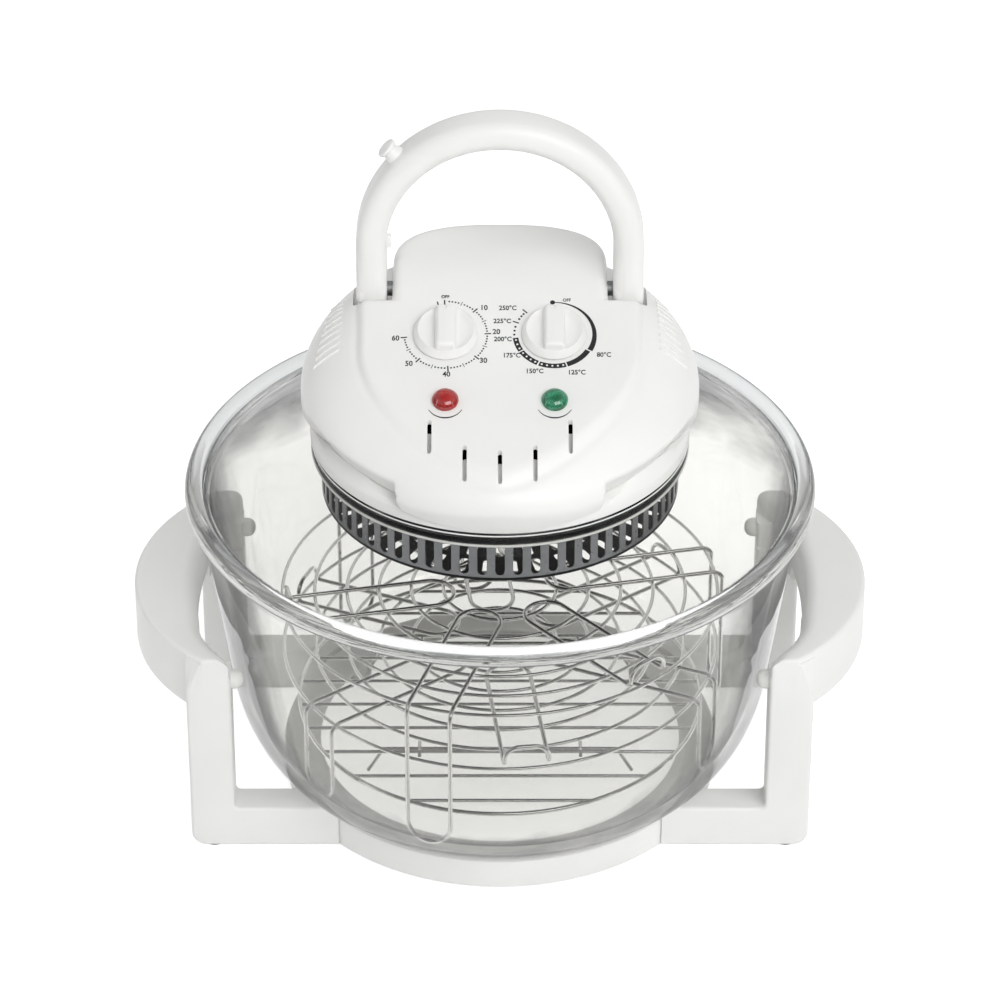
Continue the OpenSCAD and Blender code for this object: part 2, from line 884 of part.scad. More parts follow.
module microswitch() {
    color("dimgray")
    difference() {
        translate([cam_x - 3.2, 18.5, 268]) cube([7, 19, 10]);
        translate([cam_x, pivot_y, 272]) cylinder(r = 1.55, h = 10, $fn = 24);
    }
}

module switch_plunger() {
    color("red")
    translate([cam_x, pivot_y, 275]) {
        cylinder(r = 1.5, h = pivot_z - plunger_tip - 275 - 1.5, $fn = 24);
        translate([0, 0, pivot_z - plunger_tip - 275 - 1.5]) sphere(r = 1.5, $fn = 24);
    }
}

// the arch: a flat tube bent into a half circle, with straight legs to the pivots
module carry_handle() {
    color("white")
    difference() {
        union() {
            translate([0, pivot_y, arch_z]) rotate([90, 0, 0]) rotate_extrude(angle = 180)
                translate([arch_r, 0]) soft_rect(arch_t, arch_d, arch_round);
            for (sx = [-1, 1]) {
                translate([sx * arch_r, pivot_y, pivot_z])
                    linear_extrude(arch_z - pivot_z) soft_rect(arch_t, arch_d, arch_round);
                translate([sx * arch_r - arch_t / 2, pivot_y, pivot_z])
                    rotate([0, 90, 0]) cylinder(r = arch_d / 2 - 0.5, h = arch_t, $fn = 64);
            }
            // short peg on the left shoulder and a tab inside the left leg
            translate([0, pivot_y, arch_z]) rotate([0, -46, 0])
                translate([0, 0, arch_r + 6]) {
                    cylinder(r1 = 6, r2 = 3.6, h = 7, $fn = 48);
                    translate([0, 0, 7]) cylinder(r = 5.5, h = 2.4, $fn = 48);
                }
            translate([-arch_r + arch_t / 2 - 1, pivot_y - 2, arch_z - 2]) cube([3.7, 4, 7]);
        }
        for (sx = [-1, 1]) translate([sx * arch_r, pivot_y, pivot_z])
            rotate([0, 90, 0]) translate([0, 0, -6]) cylinder(r = 4, h = 12, $fn = 48);
        translate([-arch_r, pivot_y, pivot_z]) rotate([0, 90, 0]) cylinder(r = 4, h = 20, $fn = 48);
        translate([arch_r - 20, pivot_y, pivot_z]) rotate([0, 90, 0]) cylinder(r = 4, h = 20, $fn = 48);
    }
}

module pivot_pins() {
    color("silver")
    for (sx = [-1, 1]) mirror([sx < 0 ? 1 : 0, 0, 0])
        translate([46, pivot_y, pivot_z]) rotate([0, 90, 0])
            cylinder(r = 4, h = 28, $fn = 48);
}

// spiral cam on the left pin: it presses the switch as the handle folds down
module switch_cam() {
    color("ivory")
    translate([cam_x - 2, pivot_y, pivot_z]) rotate([0, 90, 0])
        linear_extrude(4) difference() {
            polygon([for (i = [0:71]) let (a = i * 5 - 120,
                r = a > -15 && a < 105 ? 6 + 1.5 * a / 88 : 5.6)
                [r * cos(a), r * sin(a)]]);
            circle(r = 4, $fn = 48);
        }
}

base_ring();
side_frame_left();
side_frame_right();
handle_left();
handle_right();
bumper_nubs();
rubber_feet();
frame_screws();
glass_bowl();
bottom_grid();
low_rack();
high_rack();
glass_lid();
lid_gaskets();
guard_ring();
guard_grille();
reflector_plate();
halogen_tube();
lamp_end_caps();
lamp_clips();
insulation_pad();
spacers();
mounting_plate();
plate_screws();
skirt();
upper_housing();
housing_screws();
cord_bush();
motor_frame();
motor_core();
motor_coil();
motor_bracket();
rotor();
circulation_fan();
fan_nut();
cooling_fan();
terminal_block();
timer_unit();
thermostat_unit();
timer_shaft();
thermostat_shaft();
timer_knob();
temperature_knob();
red_lens();
green_lens();
neon_lamps();
microswitch();
switch_plunger();
carry_handle();
pivot_pins();
switch_cam();
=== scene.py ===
# %% [markdown]
# A countertop halogen oven: a glass bowl in a white stand, wire racks inside, and a glass
# lid with the heating head on it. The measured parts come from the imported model; this
# notebook builds the moulded and blown shapes round them and gives every piece its finish.
# %% Load the measured parts
import math
import bpy
import bmesh
import numpy as np
from mathutils import Matrix, Vector


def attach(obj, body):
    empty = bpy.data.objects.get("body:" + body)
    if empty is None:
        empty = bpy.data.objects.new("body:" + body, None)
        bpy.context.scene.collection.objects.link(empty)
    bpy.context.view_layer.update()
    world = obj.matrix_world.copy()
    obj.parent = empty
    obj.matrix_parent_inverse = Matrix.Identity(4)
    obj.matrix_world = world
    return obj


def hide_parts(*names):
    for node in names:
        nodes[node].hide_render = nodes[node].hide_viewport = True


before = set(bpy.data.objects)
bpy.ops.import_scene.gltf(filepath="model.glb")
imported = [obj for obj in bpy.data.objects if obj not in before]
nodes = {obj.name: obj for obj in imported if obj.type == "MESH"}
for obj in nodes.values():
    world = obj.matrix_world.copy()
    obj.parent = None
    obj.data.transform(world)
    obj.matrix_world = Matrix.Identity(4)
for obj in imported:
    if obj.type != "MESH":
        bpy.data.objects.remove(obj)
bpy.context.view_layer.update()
MM = 0.001

# %% [markdown]
# The camera comes first, because every choice of detail depends on what it sees. It stands
# about two and a half metres away and looks down by 33.5 degrees with a long lens, as a
# product photographer does to keep the bowl's rim an even oval.
# %% Camera
CAM_TILT, CAM_LENS, CAM_PLACE = math.radians(33.5), 166.4, (0, -2.0847, 1.5523)
cam_data = bpy.data.cameras.new("camera")
camera = bpy.data.objects.new("camera", cam_data)
bpy.context.scene.collection.objects.link(camera)
bpy.context.scene.camera = camera
camera.location = CAM_PLACE
camera.rotation_euler = (math.pi / 2 - CAM_TILT, 0, 0)
cam_data.sensor_width = 36
cam_data.lens = CAM_LENS
cam_data.clip_end = 50
print("camera at", tuple(camera.location))

# %% [markdown]
# Colours are written as sRGB hex values, the way a paint or plastic sample is measured, and
# one function turns them into the linear values that the shaders work in. A second small
# function adds a node, sets its sockets and links it, so a material reads as a short list.
# %% Helpers for materials
WHITE = (1, 1, 1, 1)


def rgb(hex_code):
    srgb = [int(hex_code[i:i + 2], 16) / 255 for i in (1, 3, 5)]
    return tuple(c / 12.92 if c <= 0.04045 else ((c + 0.055) / 1.055) ** 2.4 for c in srgb) + (1,)


def add(tree, kind, settings=None, **sockets):
    """Adds a node. A number in settings is an input's place; "stops" fills a colour ramp."""
    node = tree.nodes.new("ShaderNode" + kind)
    plugs = [(key.replace("_", " "), value) for key, value in sockets.items()]
    for key, value in (settings or {}).items():
        if key == "stops":
            first, *middle, last = value
            for stop, (place, colour) in zip(node.color_ramp.elements, (first, last)):
                stop.position, stop.color = place, colour
            for place, colour in middle:
                node.color_ramp.elements.new(place).color = colour
        elif isinstance(key, int):
            plugs.append((key, value))
        else:
            setattr(node, key, value)
    for key, value in plugs:
        if isinstance(value, bpy.types.Node):
            value = value.outputs[0]
        if isinstance(value, bpy.types.NodeSocket):
            tree.links.new(value, node.inputs[key])
        else:
            node.inputs[key].default_value = value
    return node


def new_material(name):
    mat = bpy.data.materials.new(name)
    mat.use_nodes = True
    mat.node_tree.nodes.clear()
    return mat, mat.node_tree


# %% [markdown]
# The set is a plain white sweep with a large softbox high at the front right and a small
# one behind. The floor takes the shadow; to the camera, and in glass and metal, it also
# glows a little, so that it comes out as the white of a catalogue page without more light
# on the oven. The sky is grey round the sides, which draws the dark lines in clear glass.
# %% Floor, sky and lamps
PAGE_GLOW, SHADE_FILL = 0.60, 0.45
# height in the sky and its grey: dark just above the horizon, bright overhead
SKY = ((0.0, 0.45), (0.06, 0.22), (0.22, 0.40), (0.34, 0.68), (0.60, 0.90), (0.86, 0.70),
       (1.0, 0.30))
LAMPS = (("softbox_back", (0.0, 1.20, 1.60), (1.6, 0.9), 4.0),
         ("softbox_front", (0.85, -1.85, 1.98), (1.9, 1.4), 41.0),
         ("strip_left", (-1.5, -0.5, 0.8), (0.2, 1.3), 2.5),
         ("strip_right", (1.5, -0.9, 0.9), (0.2, 1.3), 2.5))


def to_object(bm, name):
    """Turns a bmesh into an object of the scene."""
    mesh = bpy.data.meshes.new(name)
    bm.to_mesh(mesh)
    bm.free()
    obj = bpy.data.objects.new(name, mesh)
    bpy.context.scene.collection.objects.link(obj)
    return obj


bm = bmesh.new()
bmesh.ops.create_grid(bm, x_segments=1, y_segments=1, size=12)
floor = to_object(bm, "floor")
mat, tree = new_material("paper_sweep")
ray = add(tree, "LightPath").outputs
seen = add(tree, "Math", {"operation": "MAXIMUM", 0: ray["Is Camera Ray"],
                          1: ray["Is Transmission Ray"]})
seen = add(tree, "Math", {"operation": "MAXIMUM", 0: seen, 1: ray["Is Glossy Ray"]})
glow = add(tree, "Math", {"operation": "MULTIPLY", 0: seen, 1: PAGE_GLOW})
paper = add(tree, "BsdfDiffuse", Color=rgb("#EFEFEF"))
light = add(tree, "Emission", Color=WHITE, Strength=glow)
add(tree, "OutputMaterial", Surface=add(tree, "AddShader", {0: paper, 1: light}))
floor.data.materials.append(mat)

world = bpy.data.worlds.new("studio")
bpy.context.scene.world = world
world.use_nodes = True
tree = world.node_tree
tree.nodes.clear()
ray = add(tree, "LightPath").outputs
way = add(tree, "SeparateXYZ", Vector=add(tree, "TexCoord").outputs["Generated"])
height = add(tree, "ValToRGB", {"stops": [(z, (grey, grey, grey, 1)) for z, grey in SKY]},
             Fac=way.outputs["Z"])
studio = add(tree, "Background", Color=height, Strength=1.0)
fill = add(tree, "Background", Color=WHITE, Strength=SHADE_FILL)
page = add(tree, "Background", Color=WHITE, Strength=1.0)
soft = add(tree, "MixShader", {1: studio, 2: fill}, Fac=ray["Is Diffuse Ray"])
add(tree, "OutputWorld", Surface=add(tree, "MixShader", {1: soft, 2: page},
                                     Fac=ray["Is Camera Ray"]))

for name, spot, size, power in LAMPS:
    lamp = bpy.data.lights.new(name, "AREA")
    lamp.shape = "RECTANGLE"
    lamp.size, lamp.size_y = size
    lamp.energy = power
    lamp_obj = bpy.data.objects.new(name, lamp)
    lamp_obj.location = spot
    aim = Vector((0, 0, 0.2)) - Vector(spot)
    lamp_obj.rotation_euler = aim.to_track_quat("-Z", "Y").to_euler()
    # the one behind only fills; nothing glossy should show it
    lamp_obj.visible_glossy = name != "softbox_back"
    bpy.context.scene.collection.objects.link(lamp_obj)
print("lamps:", len(LAMPS))

# %% [markdown]
# The stand, the head and the carry handle are all the same plastic: ABS, injection moulded
# in a polished tool. The eye sees an even white that is a touch warm, a soft gloss, and a
# very slight waviness where the wall shrank. Principled gives the gloss; a faint noise in
# colour, roughness and height keeps it from looking like paper. Most finishes of the oven
# start in the same way, with a noise that the colour follows, so that start is shared.
# %% Moulded plastics


def noisy(name, scale, detail, low, hex_dark, high, hex_light, stretch=(1, 1, 1)):
    """Starts a material: a noise in the piece's own space and a colour that follows it."""
    mat, tree = new_material(name)
    lay = add(tree, "Mapping", Vector=add(tree, "TexCoord").outputs["Object"], Scale=stretch)
    noise = add(tree, "TexNoise", Vector=lay, Scale=scale, Detail=detail)
    tint = add(tree, "ValToRGB", {"stops": ((low, rgb(hex_dark)), (high, rgb(hex_light)))},
               Fac=noise)
    return mat, tree, lay, noise, tint


def moulded(name, hex_light, hex_dark, rough):
    mat, tree, lay, _, tint = noisy(name, 14.0, 2.0, 0.3, hex_dark, 0.7, hex_light)
    # shrink waves a few millimetres long
    fine = add(tree, "TexNoise", Vector=lay, Scale=380.0, Detail=3.0)
    gloss = add(tree, "MapRange", Value=fine, To_Min=rough - 0.05, To_Max=rough + 0.06)
    peel = add(tree, "Bump", Height=fine, Strength=0.05, Distance=0.0004)
    skin = add(tree, "BsdfPrincipled", Base_Color=tint, Roughness=gloss, IOR=1.53,
               Specular_IOR_Level=0.35, Normal=peel)
    add(tree, "OutputMaterial", Surface=skin)
    return mat


white_abs = moulded("white_abs_moulded", "#EDEDEB", "#E8E8E6", 0.38)
black_plastic = moulded("black_phenolic_moulded", "#1C1C1E", "#151517", 0.42)
ivory_plastic = moulded("ivory_nylon_moulded", "#E4DCC4", "#DAD1B6", 0.45)
red_plastic = moulded("red_acetal_moulded", "#B3231E", "#9E1C18", 0.35)
print("plastics ready")

# %% [markdown]
# Bowl and lid are pressed soda-lime glass. The wall is thin beside the width of the bowl,
# so what is behind it is hardly shifted: each surface lets light straight through, mirrors
# more of the room the flatter it is seen, and takes away more light where the line of sight
# runs along the wall. That last part draws the grey lines at rim and sides. A very faint
# waviness from the mould keeps the highlights from looking ruled. Only the thick rim bends
# light in earnest, so there a real refracting glass takes over.
# %% Clear and tinted glass
RIM_R, RIM_Z, BLEND = 0.1575, 0.1795, 0.0008
EDGE_SHADE_IN, EDGE_SHADE_OUT, EDGE_SHADE_SOFT = 0.1582, 0.1598, 0.0003


def from_axis(tree, spot):
    """How far a point is from the oven's upright axis."""
    level = add(tree, "VectorMath", {"operation": "MULTIPLY", 0: spot, 1: (1, 1, 0)})
    return add(tree, "VectorMath", {"operation": "LENGTH", 0: level}).outputs["Value"]


def thick_rim(tree, spot, slant, skin, lit, rough, surface):
    """Beyond RIM_R and RIM_Z the glass is thick, and there it bends light fully."""
    radius = from_axis(tree, spot)
    level = add(tree, "SeparateXYZ", Vector=spot).outputs["Z"]
    wide = add(tree, "MapRange", Value=radius, From_Min=RIM_R, From_Max=RIM_R + BLEND)
    high = add(tree, "MapRange", Value=level, From_Min=RIM_Z, From_Max=RIM_Z + BLEND)
    thick = add(tree, "Math", {"operation": "MULTIPLY", 0: wide, 1: high})
    open_air = add(tree, "Math", {"operation": "MULTIPLY", 0: thick, 1: lit})
    line = add(tree, "ValToRGB", {"stops": ((0.50, rgb("#D0D2D2")), (0.90, rgb("#404343")))},
               Fac=slant)
    # painted shade: a nearly black ring is painted into the rim glass's colour at the lid's edge,
    # just inside the bead
    inwards = add(tree, "MapRange", Value=radius, From_Min=EDGE_SHADE_IN,
                  From_Max=EDGE_SHADE_IN + EDGE_SHADE_SOFT, To_Min=1.0, To_Max=0.0)
    outwards = add(tree, "MapRange", Value=radius, From_Min=EDGE_SHADE_OUT,
                   From_Max=EDGE_SHADE_OUT + EDGE_SHADE_SOFT)
    painted_edge_shade = add(tree, "Math", {"operation": "MAXIMUM", 0: inwards, 1: outwards})
    shaded = add(tree, "Mix", {"data_type": "RGBA", 0: painted_edge_shade, 6: rgb("#2A2C2C"), 7: line})
    lens = add(tree, "BsdfPrincipled", Base_Color=shaded.outputs[2], Roughness=rough, IOR=1.5,
               Transmission_Weight=1.0, Normal=skin)
    return add(tree, "MixShader", {1: surface, 2: lens}, Fac=open_air)


def clear_glass(name, hex_face, hex_edge, rough, wave_scale, wave, painted_reflection_streaks=0.0, rim=False):
    mat, tree = new_material(name)
    spot = add(tree, "TexCoord").outputs["Object"]
    swell = add(tree, "TexNoise", Vector=spot, Scale=wave_scale, Detail=2.0)
    skin = add(tree, "Bump", Height=swell, Strength=wave, Distance=0.002)
    slant = add(tree, "LayerWeight", Blend=0.5).outputs["Facing"]
    # painted reflection: upright streaks of lighter and darker see-through colour stand in for the
    # streaky reflections on the wall
    lay = add(tree, "Mapping", Vector=spot, Scale=(1, 1, 0.12))
    painted_streak = add(tree, "TexNoise", Vector=lay, Scale=34.0, Detail=2.0)
    painted_streak_shift = add(tree, "MapRange", Value=painted_streak, From_Min=0.3, From_Max=0.7, To_Min=-painted_reflection_streaks,
                To_Max=painted_reflection_streaks)
    depth = add(tree, "Math", {"operation": "ADD", 0: slant, 1: painted_streak_shift})
    tint = add(tree, "ValToRGB", {"stops": ((0.55, rgb(hex_face)), (0.98, rgb(hex_edge)))},
               Fac=depth)
    through = add(tree, "BsdfTransparent", Color=tint)
    mirror = add(tree, "BsdfPrincipled", Base_Color=rgb("#F7F7F7"), Metallic=1.0,
                 Roughness=rough, Normal=skin)
    # little is mirrored head-on, everything when seen along the wall
    lean = add(tree, "LayerWeight", Blend=0.5, Normal=skin).outputs["Facing"]
    steep = add(tree, "Math", {"operation": "POWER", 0: lean, 1: 5.0})
    shine = add(tree, "MapRange", Value=steep, To_Min=0.022, To_Max=0.95)
    lit = add(tree, "MapRange", Value=add(tree, "LightPath").outputs["Is Shadow Ray"],
              To_Min=1.0, To_Max=0.0)
    share = add(tree, "Math", {"operation": "MULTIPLY", 0: shine, 1: lit})
    # lamplight goes through with hardly any loss, so the shade inside stays light
    lamplight = add(tree, "BsdfTransparent", Color=rgb("#FAFAFA"))
    clear = add(tree, "MixShader", {1: lamplight, 2: through}, Fac=lit)
    surface = add(tree, "MixShader", {1: clear, 2: mirror}, Fac=share)
    if rim:
        surface = thick_rim(tree, spot, slant, skin, lit, rough, surface)
    add(tree, "OutputMaterial", Surface=surface)
    return mat


bowl_glass = clear_glass("soda_lime_glass_pressed", "#F8F8F7", "#6E7072", 0.03, 26.0, 0.25,
                         painted_reflection_streaks=0.09, rim=True)
quartz_glass = clear_glass("quartz_glass_drawn", "#EFEFEC", "#8E8E8C", 0.04, 60.0, 0.05)
neon_glass = clear_glass("neon_bulb_glass", "#F2C79C", "#B5763C", 0.05, 60.0, 0.05)
print("glass ready")

# %% [markdown]
# The metals: chromed wire for the racks, pressed steel for the guard's grille, painted near
# black as painted shade, zinc plate for screws and brackets, a bright aluminium reflector. All
# keep the default index; what tells them apart is roughness and the marks of how they were made.
# %% Metals


def metal(name, hex_light, hex_dark, rough, grain_scale, grain, stretch=(1, 1, 1), core=None):
    mat, tree, _, marks, tint = noisy(name, grain_scale, 4.0, 0.35, hex_dark, 0.65, hex_light,
                                      stretch)
    if core:
        # painted reflection: a thin round wire is painted darker along its middle, for the dark of
        # the room it mirrors, and white at its sides
        turned = add(tree, "LayerWeight", Blend=0.5).outputs["Facing"]
        band = add(tree, "ValToRGB", {"stops": ((0.12, rgb(core)), (0.45, WHITE))}, Fac=turned)
        tint = add(tree, "Mix", {"data_type": "RGBA", "blend_type": "MULTIPLY", 0: 1.0,
                                 6: tint, 7: band}).outputs[2]
    gloss = add(tree, "MapRange", Value=marks, To_Min=rough - 0.06, To_Max=rough + 0.08)
    bump = add(tree, "Bump", Height=marks, Strength=grain, Distance=0.0003)
    skin = add(tree, "BsdfPrincipled", Base_Color=tint, Metallic=1.0, Roughness=gloss,
               Normal=bump)
    add(tree, "OutputMaterial", Surface=skin)
    return mat


# the chrome wire's dark middle is a painted reflection
chrome_wire = metal("chromed_steel_wire", "#F2F2F1", "#E9E9E8", 0.13, 500.0, 0.05,
                    core="#8F8F8E")
pin_steel = metal("brushed_pin_steel", "#8E9092", "#7A7C7E", 0.5, 260.0, 0.1)
zinc_steel = metal("zinc_plated_steel", "#B9BDC2", "#9CA1A8", 0.36, 260.0, 0.10)
reflector_alu = metal("aluminium_reflector_polished", "#8D8E90", "#77787A", 0.16, 150.0, 0.04)
fan_alu = metal("aluminium_fan_pressed", "#C9CBCD", "#B2B5B8", 0.34, 200.0, 0.08)
laminated = metal("laminated_core_steel", "#6E7076", "#3F4145", 0.50, 90.0, 0.35, (1, 1, 22))
copper = metal("enamelled_copper_winding", "#B8692F", "#7E431C", 0.33, 120.0, 0.5, (1, 1, 14))
# painted shade: the grille's steel is near black so the inside of the guard reads dark
dark_steel = metal("painted_shade_steel", "#1A1A1B", "#101011", 0.45, 200.0, 0.1)
print("metals ready")

# %% [markdown]
# The guard is pressed steel. Outside it is a mid-grey polish; its inner face is painted near
# black as painted shade, so it reads as a black slot wherever one looks through. The mask is
# plain geometry: the distance of a point from the axis.
# %% Guard steel, painted dark inside as shade
GUARD_SKIN_R, GUARD_FADE = 0.0954, 0.0003
guard_steel, tree = new_material("guard_steel_pressed")
spot = add(tree, "TexCoord").outputs["Object"]
outside = add(tree, "MapRange", Value=from_axis(tree, spot),
              From_Min=GUARD_SKIN_R - GUARD_FADE, From_Max=GUARD_SKIN_R + GUARD_FADE)
marks = add(tree, "TexNoise", Vector=spot, Scale=300.0, Detail=4.0)
# painted shade: the inner face near black, the outside mid-grey
tint = add(tree, "ValToRGB", {"stops": ((0, rgb("#0F0F10")), (1, rgb("#75777A")))}, Fac=outside)
gloss = add(tree, "MapRange", Value=marks, To_Min=0.22, To_Max=0.38)
bump = add(tree, "Bump", Height=marks, Strength=0.12, Distance=0.0003)
skin = add(tree, "BsdfPrincipled", Base_Color=tint, Metallic=1.0, Roughness=gloss, Normal=bump)
add(tree, "OutputMaterial", Surface=skin)

# %% [markdown]
# Soft and fired materials need no gloss to speak of: silicone rings, rubber feet, the
# ceramic ends of the lamp and the pad of mineral fibre above it.
# %% Rubber, ceramic and fibre


def matt(name, hex_light, hex_dark, rough, scale, relief, sheen=0.0):
    mat, tree, _, grain, tint = noisy(name, scale, 5.0, 0.3, hex_dark, 0.7, hex_light)
    bump = add(tree, "Bump", Height=grain, Strength=relief, Distance=0.0006)
    skin = add(tree, "BsdfPrincipled", Base_Color=tint, Roughness=rough, Sheen_Weight=sheen,
               Normal=bump)
    add(tree, "OutputMaterial", Surface=skin)
    return mat


white_rubber = matt("white_silicone_moulded", "#E9E9E6", "#DFDFDB", 0.5, 300.0, 0.1)
gasket_silicone = matt("black_silicone_glossy", "#151517", "#101012", 0.16, 300.0, 0.05)
dark_silicone = matt("dark_silicone_moulded", "#2A2B2D", "#1F2022", 0.45, 300.0, 0.1)
foot_rubber = matt("grey_rubber_moulded", "#5A5B5D", "#4A4B4D", 0.7, 260.0, 0.25)
ceramic = matt("steatite_ceramic_fired", "#EAE5D9", "#DED8C9", 0.35, 180.0, 0.12)
fibre = matt("mineral_fibre_pad", "#DCD3BB", "#B9AE92", 0.95, 220.0, 0.8, 0.2)
print_ink = matt("black_printing_ink", "#1D1D1F", "#151517", 0.40, 900.0, 0.1)
white_ink = matt("white_printing_ink", "#F0F0EE", "#E9E9E7", 0.40, 900.0, 0.1)
print("matt materials ready")

# %% [markdown]
# Signal lenses are cast in clear tinted plastic with facets inside. Dye makes the colour
# deep where the wall is thick and bright on the facets that turn to the light.
# %% Tinted lenses


def tinted(name, hex_tint, hex_glow):
    mat, tree, _, _, tint = noisy(name, 260.0, 2.0, 0.35, hex_tint, 0.65, hex_glow)
    skin = add(tree, "BsdfPrincipled", Base_Color=tint, Roughness=0.06, IOR=1.49,
               Transmission_Weight=0.55, Coat_Weight=0.6, Coat_Roughness=0.03)
    add(tree, "OutputMaterial", Surface=skin)
    return mat


red_lens = tinted("red_acrylic_cast", "#B8161A", "#DC2F2A")
green_lens = tinted("green_acrylic_cast", "#0F7A50", "#3BB98A")
print("lenses ready")

# %% [markdown]
# The measured parts that already have the right shape keep it and only take a finish.
# %% Finishes for the measured parts
FINISHES = {
    chrome_wire: ("bottom_grid", "low_rack", "high_rack"),
    guard_steel: ("guard_ring",),
    dark_steel: ("guard_grille",),
    zinc_steel: ("frame_screws", "plate_screws", "housing_screws", "spacers", "mounting_plate",
                 "lamp_clips", "motor_frame", "motor_bracket", "rotor", "fan_nut",
                 "timer_shaft", "thermostat_shaft", "timer_unit", "thermostat_unit"),
    reflector_alu: ("reflector_plate",),
    pin_steel: ("pivot_pins",),
    fan_alu: ("circulation_fan",),
    laminated: ("motor_core",),
    copper: ("motor_coil",),
    quartz_glass: ("halogen_tube",),
    neon_glass: ("neon_lamps",),
    ceramic: ("lamp_end_caps",),
    fibre: ("insulation_pad",),
    dark_silicone: ("cord_bush",),
    gasket_silicone: ("lid_gaskets",),
    foot_rubber: ("rubber_feet",),
    white_rubber: ("bumper_nubs",),
    black_plastic: ("microswitch", "cooling_fan"),
    ivory_plastic: ("terminal_block", "switch_cam"),
    red_plastic: ("switch_plunger",),
    red_lens: ("red_lens",),
    green_lens: ("green_lens",),
    bowl_glass: ("glass_bowl", "glass_lid"),
    white_abs: ("base_ring", "side_frame_left", "side_frame_right", "handle_left",
                "handle_right", "skirt", "upper_housing", "timer_knob", "temperature_knob",
                "carry_handle"),
}
for finish, names in FINISHES.items():
    for name in names:
        for slot in nodes[name].material_slots:
            slot.material = finish
left_over = set(nodes) - {name for names in FINISHES.values() for name in names}
print("finishes given; parts without one:", sorted(left_over))

# %% [markdown]
# Every new piece ends the same way: its mesh is cleaned, its faces turned outwards, edges
# sharper than about 35 degrees kept crisp, it is told which body it rides on, and the
# measured parts it stands for are hidden. Lengths are in millimetres until this point.
# %% Finishing a piece
CLOSE = 0.002


def cleaned(bm):
    bmesh.ops.remove_doubles(bm, verts=bm.verts, dist=CLOSE)
    bmesh.ops.recalc_face_normals(bm, faces=bm.faces)
    return bm


def piece(bm, name, body, finish, *stands_for, sharp=35.0, slot_like=None):
    cleaned(bm)
    bmesh.ops.scale(bm, vec=(MM, MM, MM), verts=bm.verts)
    obj = to_object(bm, name)
    mesh = obj.data
    mesh.materials.append(finish)
    mesh.shade_smooth()
    mesh.set_sharp_from_angle(angle=math.radians(sharp))
    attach(obj, body)
    if stands_for:
        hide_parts(*stands_for)
    print(name, "faces", len(mesh.polygons))


# %% [markdown]
# Holes, pockets and joints are cut and joined as solids, the way a workshop would: a helper
# object is made, put through the main one, and thrown away.
# %% Cutting and joining


def at(x, y, z=0.0):
    return Matrix.Translation((x, y, z))


def turned(degrees, axis):
    return Matrix.Rotation(math.radians(degrees), 4, axis)


def solid(bm):
    """A helper object for cutting and joining, in millimetres."""
    return to_object(cleaned(bm), "helper")


def to_bmesh(obj):
    bm = bmesh.new()
    bm.from_mesh(obj.data)
    bpy.data.objects.remove(obj)
    return bm


def combine(obj, tool, operation):
    mod = obj.modifiers.new(operation, "BOOLEAN")
    mod.object = tool
    mod.operation = operation
    mod.solver = "MANIFOLD"
    graph = bpy.context.evaluated_depsgraph_get()
    mesh = bpy.data.meshes.new_from_object(obj.evaluated_get(graph))
    obj.modifiers.clear()
    obj.data = mesh
    bpy.data.objects.remove(tool)
    return obj


def cut(obj, tool):
    return combine(obj, tool, "DIFFERENCE")


def weld(obj, *others):
    for other in others:
        obj = combine(obj, other, "UNION")
    return obj


def trim(obj, limit):
    return combine(obj, limit, "INTERSECT")


# %% [markdown]
# The basic shapes: a section spun round the upright axis, a block, a rod, an outline pushed
# out to a depth, and two kinds of curve to draw sections with.
# %% Basic shapes


def spin(bm, points, steps, closed):
    """Spins a line of points round the upright axis."""
    line = [bm.verts.new((r, 0, z)) for r, z in points]
    edges = [bm.edges.new(pair) for pair in zip(line, line[1:])]
    if closed:
        edges.append(bm.edges.new((line[-1], line[0])))
    bmesh.ops.spin(bm, geom=line + edges, cent=(0, 0, 0), axis=(0, 0, 1), steps=steps,
                   angle=math.tau, use_merge=True)


def lathe(section, steps, bm=None, closed=True):
    bm = bm or bmesh.new()
    spin(bm, section, steps, closed)
    bmesh.ops.remove_doubles(bm, verts=bm.verts, dist=CLOSE)
    return bm


def round_edges(bm, edges, size, segments=4, clamp=False):
    bmesh.ops.bevel(bm, geom=edges, offset=size, segments=segments, affect="EDGES",
                    profile=0.5, material=-1, clamp_overlap=clamp)


def put(bm, place):
    bmesh.ops.transform(bm, matrix=place, verts=bm.verts)
    return bm


def block(corner, opposite):
    low, high = zip(*(sorted(pair) for pair in zip(corner, opposite)))
    bm = bmesh.new()
    bmesh.ops.create_cube(bm, size=1)
    bmesh.ops.scale(bm, vec=[b - a for a, b in zip(low, high)], verts=bm.verts)
    return put(bm, at(*[(a + b) / 2 for a, b in zip(low, high)]))


def box_solid(corner, opposite, round_by=0.0):
    bm = block(corner, opposite)
    if round_by:
        round_edges(bm, bm.edges[:], round_by, 3, clamp=True)
    return solid(bm)


def cone(low_r, top_r, depth, steps):
    """An upright cone or cylinder with its middle at the origin."""
    bm = bmesh.new()
    bmesh.ops.create_cone(bm, cap_ends=True, segments=steps, radius1=low_r, radius2=top_r,
                          depth=depth)
    return bm


def rod(radius, low, high, steps, place=at(0, 0)):
    bm = cone(radius, radius, high - low, steps)
    return solid(put(bm, place @ at(0, 0, (low + high) / 2)))


def push(bm, face, way):
    """Pushes a face out and returns what grew."""
    grown = bmesh.ops.extrude_face_region(bm, geom=[face])["geom"]
    bmesh.ops.translate(bm, vec=way, verts=[g for g in grown if isinstance(g, bmesh.types.BMVert)])
    return grown


def other_side(bm, side):
    """Mirrors a piece made for the right, when it is wanted on the left."""
    if side < 0:
        bmesh.ops.scale(bm, vec=(-1, 1, 1), verts=bm.verts)
        bmesh.ops.reverse_faces(bm, faces=bm.faces)
    return bm


